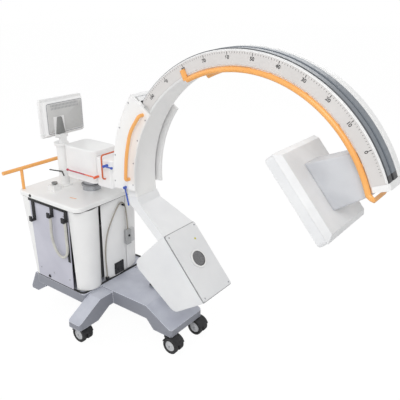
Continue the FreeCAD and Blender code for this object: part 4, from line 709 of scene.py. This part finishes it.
# Lid
LID_LINE = ((-0.684, -0.184, 0.7743), (-0.638, -0.176, 0.7743), (-0.638, -0.168, 0.7743),
            (-0.684, -0.176, 0.7743))
STAY_CORNERS = ((-0.972, -0.0835, 0.857), (-0.880, -0.0835, 0.866), (-0.855, -0.0835, 0.869),
                (-0.841, -0.0835, 0.843))
STAY_STEPS, STAY_RADIUS = 7, 0.0035
CAP_PLACE = (-0.915, -0.2800, 0.762)
CAP = ((0.0, 0.006), (0.006, 0.0055), (0.009, 0.003), (0.009, 0.0))
LIP_MIDDLE, LIP_HEIGHT = -0.7725, 0.7390
LIP_LEVELS = ((0.0, 0.1675, 0.0085, 0.003), (0.0075, 0.1675, 0.0085, 0.003), (0.0085, 0.1665, 0.0075, 0.003))


def straight_runs(corners, steps):
    """Points along the straight runs between corners, each run in even steps, each corner once."""
    corners = np.array(corners)
    runs = [np.linspace(start, end, steps, endpoint=False) for start, end in zip(corners[:-1], corners[1:])]
    return np.vstack([*runs, corners[-1:]])


def on_near_lip(rows):
    """A placing for the lid's near lip: out goes towards the near side, across along X and up along Z."""
    out, across, up = rows.T
    return np.column_stack([LIP_MIDDLE + across, NEAR_PANEL - out, up + LIP_HEIGHT])


def lid_details():
    """The lid's small things: a flat orange line, a dark bent stay on the monitor's post, a turned cap and
    the long near lip."""
    tiles("lid_orange_line", np.array([LID_LINE]), ORANGE, "base")
    surface("lid_stay", tube_grid(straight_runs(STAY_CORNERS, STAY_STEPS), STAY_RADIUS, 10), BLACK, "base",
            wrap_v=True)
    lathe("lid_edge_cap", CAP, CAP_PLACE, (0, -1, 0), BLACK, "base", turns=24)
    lofted_plate("lid_near_lip", LIP_LEVELS, on_near_lip, GASKET, "base")


# Sockets
SOCKET_FRONT, SOCKET_SIDE, SOCKET_HEIGHTS = -0.530, 0.022, (0.273, 0.309)
SOCKET_LEVELS = ((0.0, 0.030, 0.0155, 0.004), (0.0022, 0.029, 0.0145, 0.004), (0.0022, 0.025, 0.0110, 0.003),
                 (0.0006, 0.024, 0.0100, 0.003))


def socket_frames():
    """Two mains sockets on the socket plate, each a raised rounded frame round a shallow well."""
    for count, height in enumerate(SOCKET_HEIGHTS):
        lofted_plate(f"socket_frame_{count}", SOCKET_LEVELS, square_to_x(SOCKET_FRONT, SOCKET_SIDE, height),
                     BLACK, "base")


# Cabinet
PANEL_SCREWS = ((-0.640, 0.300), (-0.640, 0.700), (-0.900, 0.300), (-0.780, 0.300))
PANEL_SCREW_RADIUS = 0.0045
FAR_SCREWS_FRONT = -0.72
COLUMN_FOOT = (-0.700, 0.0, 0.800)
COLUMN_WIPER = ((0.0480, 0.0), (0.058, 0.0), (0.060, 0.003), (0.060, 0.007), (0.057, 0.010), (0.0480, 0.010))


def cabinet_details():
    """Screws on both side panels, none on the far one further forward than a limit, and the column's wiper
    ring, turned about the column and coloured in the seam shadow grey as painted shade at the column's foot."""
    for count, (x, z) in enumerate(PANEL_SCREWS):
        screw(f"panel_screw_{count}", (x, NEAR_PANEL, z), (0, -1, 0), "base", PANEL_SCREW_RADIUS)
        screw(f"panel_screw_far_{count}", (min(x, FAR_SCREWS_FRONT), -NEAR_PANEL, z), (0, 1, 0), "base",
              PANEL_SCREW_RADIUS)
    # Painted shade: the wiper ring takes the seam shadow grey of the shade at the column's foot
    lathe("column_wiper", COLUMN_WIPER, COLUMN_FOOT, (0, 0, 1), SHADOW_GREY, "base", turns=64)


# Carriage, by angles round the C in degrees
CARRIAGE_FIRST, CARRIAGE_LAST = 143.0, 184.0
CHEEK_FACE, CHEEK_SCREW_RADIUS = 0.109, 0.0040
CHEEK_SCREW_ANGLES, CHEEK_SCREW_RADII = (146.5, 158.0, 170.0, 181.0), (0.622, 0.752)
WIPER_INSET, WIPER_HALF = 0.25, 0.1
WIPER_SPANS = (("", 0.7125, 0.7425, -0.0960, 0.0960), ("_near", 0.6740, 0.7425, -0.0968, -0.0836),
               ("_far", 0.6740, 0.7425, 0.0836, 0.0968))


def carriage_details():
    """Screws on both cheeks in two rows round the C, and three pale wiper plates at each of the carriage's
    mouths."""
    for side, word in SIDES:
        for row, angle in enumerate(CHEEK_SCREW_ANGLES):
            for column, radius in enumerate(CHEEK_SCREW_RADII):
                screw(f"cheek_screw_{word}_{row}_{column}", on_c(radius, angle, side * CHEEK_FACE),
                      (0, side, 0), "carriage", CHEEK_SCREW_RADIUS)
    for end, angle in (("upper", CARRIAGE_FIRST + WIPER_INSET), ("lower", CARRIAGE_LAST - WIPER_INSET)):
        for word, *span in WIPER_SPANS:
            wiper_plate(f"carriage_wiper_{end}{word}", *span, angle)


def wiper_plate(name, inner, outer, low, high, angle):
    """A thin plate across the carriage's mouth: its four corners, by radius and Y, swept over a fifth of a
    degree and closed to the middle at both ends."""
    corners = ((inner, low), (outer, low), (outer, high), (inner, high))
    ends = (angle - WIPER_HALF, angle + WIPER_HALF)
    rows = [[on_c(radius, turn, y) for radius, y in corners] for turn in ends]
    middles = [[on_c((inner + outer) / 2, turn, (low + high) / 2)] * 4 for turn in ends]
    grid = np.array([middles[0], *rows, middles[1]])
    surface(name, grid, WHITE, "carriage", wrap_v=True, smooth=False)


scale_marks()
wheel_discs()
monitor_back()
tank_details()
switch_rest_and_plug()
lid_details()
socket_frames()
caster_fittings()
cabinet_details()
carriage_details()

# Light and floor
FLOOR_REACH = 30.0
FLOOR_GLOW, FLOOR_GLOW_SHARE = 1.03, 0.93
SKY_ON_OBJECT, SKY_SEEN = 0.55, 1.0
LAMP_AIM = Vector((0, 0, 0.8))
LAMPS = (("key_lamp", (2.2, -3.4, 4.2), 3.0, 120), ("fill_lamp", (-3.8, -2.6, 2.6), 3.5, 45),
         ("back_lamp", (-1.0, 4.0, 4.0), 3.0, 45))


def studio_floor():
    """A pale matt floor. The camera sees it mostly by an even glow, so that its colour stays pale, and the
    rest of its light keeps the object's shadow."""
    mesh = bpy.data.meshes.new("studio_floor")
    mesh.from_pydata([(-FLOOR_REACH, -FLOOR_REACH, 0), (FLOOR_REACH, -FLOOR_REACH, 0),
                      (FLOOR_REACH, FLOOR_REACH, 0), (-FLOOR_REACH, FLOOR_REACH, 0)], [], [(0, 1, 2, 3)])
    floor = bpy.data.objects.new("studio_floor", mesh)
    bpy.context.scene.collection.objects.link(floor)
    paint = bpy.data.materials.new("studio_floor")
    paint.use_nodes = True
    tree = paint.node_tree
    shader = tree.nodes["Principled BSDF"]
    shader.inputs["Base Color"].default_value = (0.9, 0.9, 0.9, 1)
    shader.inputs["Roughness"].default_value = 0.8
    glow = tree.nodes.new("ShaderNodeEmission")
    glow.inputs["Color"].default_value = (1, 1, 1, 1)
    glow.inputs["Strength"].default_value = FLOOR_GLOW
    rays = tree.nodes.new("ShaderNodeLightPath")
    share = tree.nodes.new("ShaderNodeMath")
    share.operation = "MULTIPLY"
    share.inputs[1].default_value = FLOOR_GLOW_SHARE
    blend = tree.nodes.new("ShaderNodeMixShader")
    tree.links.new(rays.outputs["Is Camera Ray"], share.inputs[0])
    tree.links.new(share.outputs[0], blend.inputs[0])
    tree.links.new(shader.outputs[0], blend.inputs[1])
    tree.links.new(glow.outputs[0], blend.inputs[2])
    tree.links.new(blend.outputs[0], tree.nodes["Material Output"].inputs["Surface"])
    mesh.materials.append(paint)


def studio_sky():
    """An even sky, plain white to the camera and in reflections, and dimmer where it lights the object."""
    world = bpy.data.worlds.new("studio")
    bpy.context.scene.world = world
    world.use_nodes = True
    sky = world.node_tree
    dim = sky.nodes["Background"]
    dim.inputs["Color"].default_value = (1, 1, 1, 1)
    dim.inputs["Strength"].default_value = SKY_ON_OBJECT
    bright = sky.nodes.new("ShaderNodeBackground")
    bright.inputs["Color"].default_value = (1, 1, 1, 1)
    bright.inputs["Strength"].default_value = SKY_SEEN
    rays = sky.nodes.new("ShaderNodeLightPath")
    seen = sky.nodes.new("ShaderNodeMath")
    seen.operation = "MAXIMUM"
    blend = sky.nodes.new("ShaderNodeMixShader")
    sky.links.new(rays.outputs["Is Camera Ray"], seen.inputs[0])
    sky.links.new(rays.outputs["Is Glossy Ray"], seen.inputs[1])
    sky.links.new(seen.outputs[0], blend.inputs[0])
    sky.links.new(dim.outputs[0], blend.inputs[1])
    sky.links.new(bright.outputs[0], blend.inputs[2])
    sky.links.new(blend.outputs[0], sky.nodes["World Output"].inputs["Surface"])


def studio_lamps():
    """Three soft square lamps, each aimed at the middle of the stand."""
    for name, place, size, power in LAMPS:
        data = bpy.data.lights.new(name, "AREA")
        data.energy = power
        data.size = size
        lamp = bpy.data.objects.new(name, data)
        bpy.context.scene.collection.objects.link(lamp)
        lamp.location = place
        lamp.rotation_mode = "QUATERNION"
        lamp.rotation_quaternion = (LAMP_AIM - Vector(place)).to_track_quat("-Z", "Y")


studio_floor()
studio_sky()
studio_lamps()
bpy.context.scene.view_settings.view_transform = "Standard"
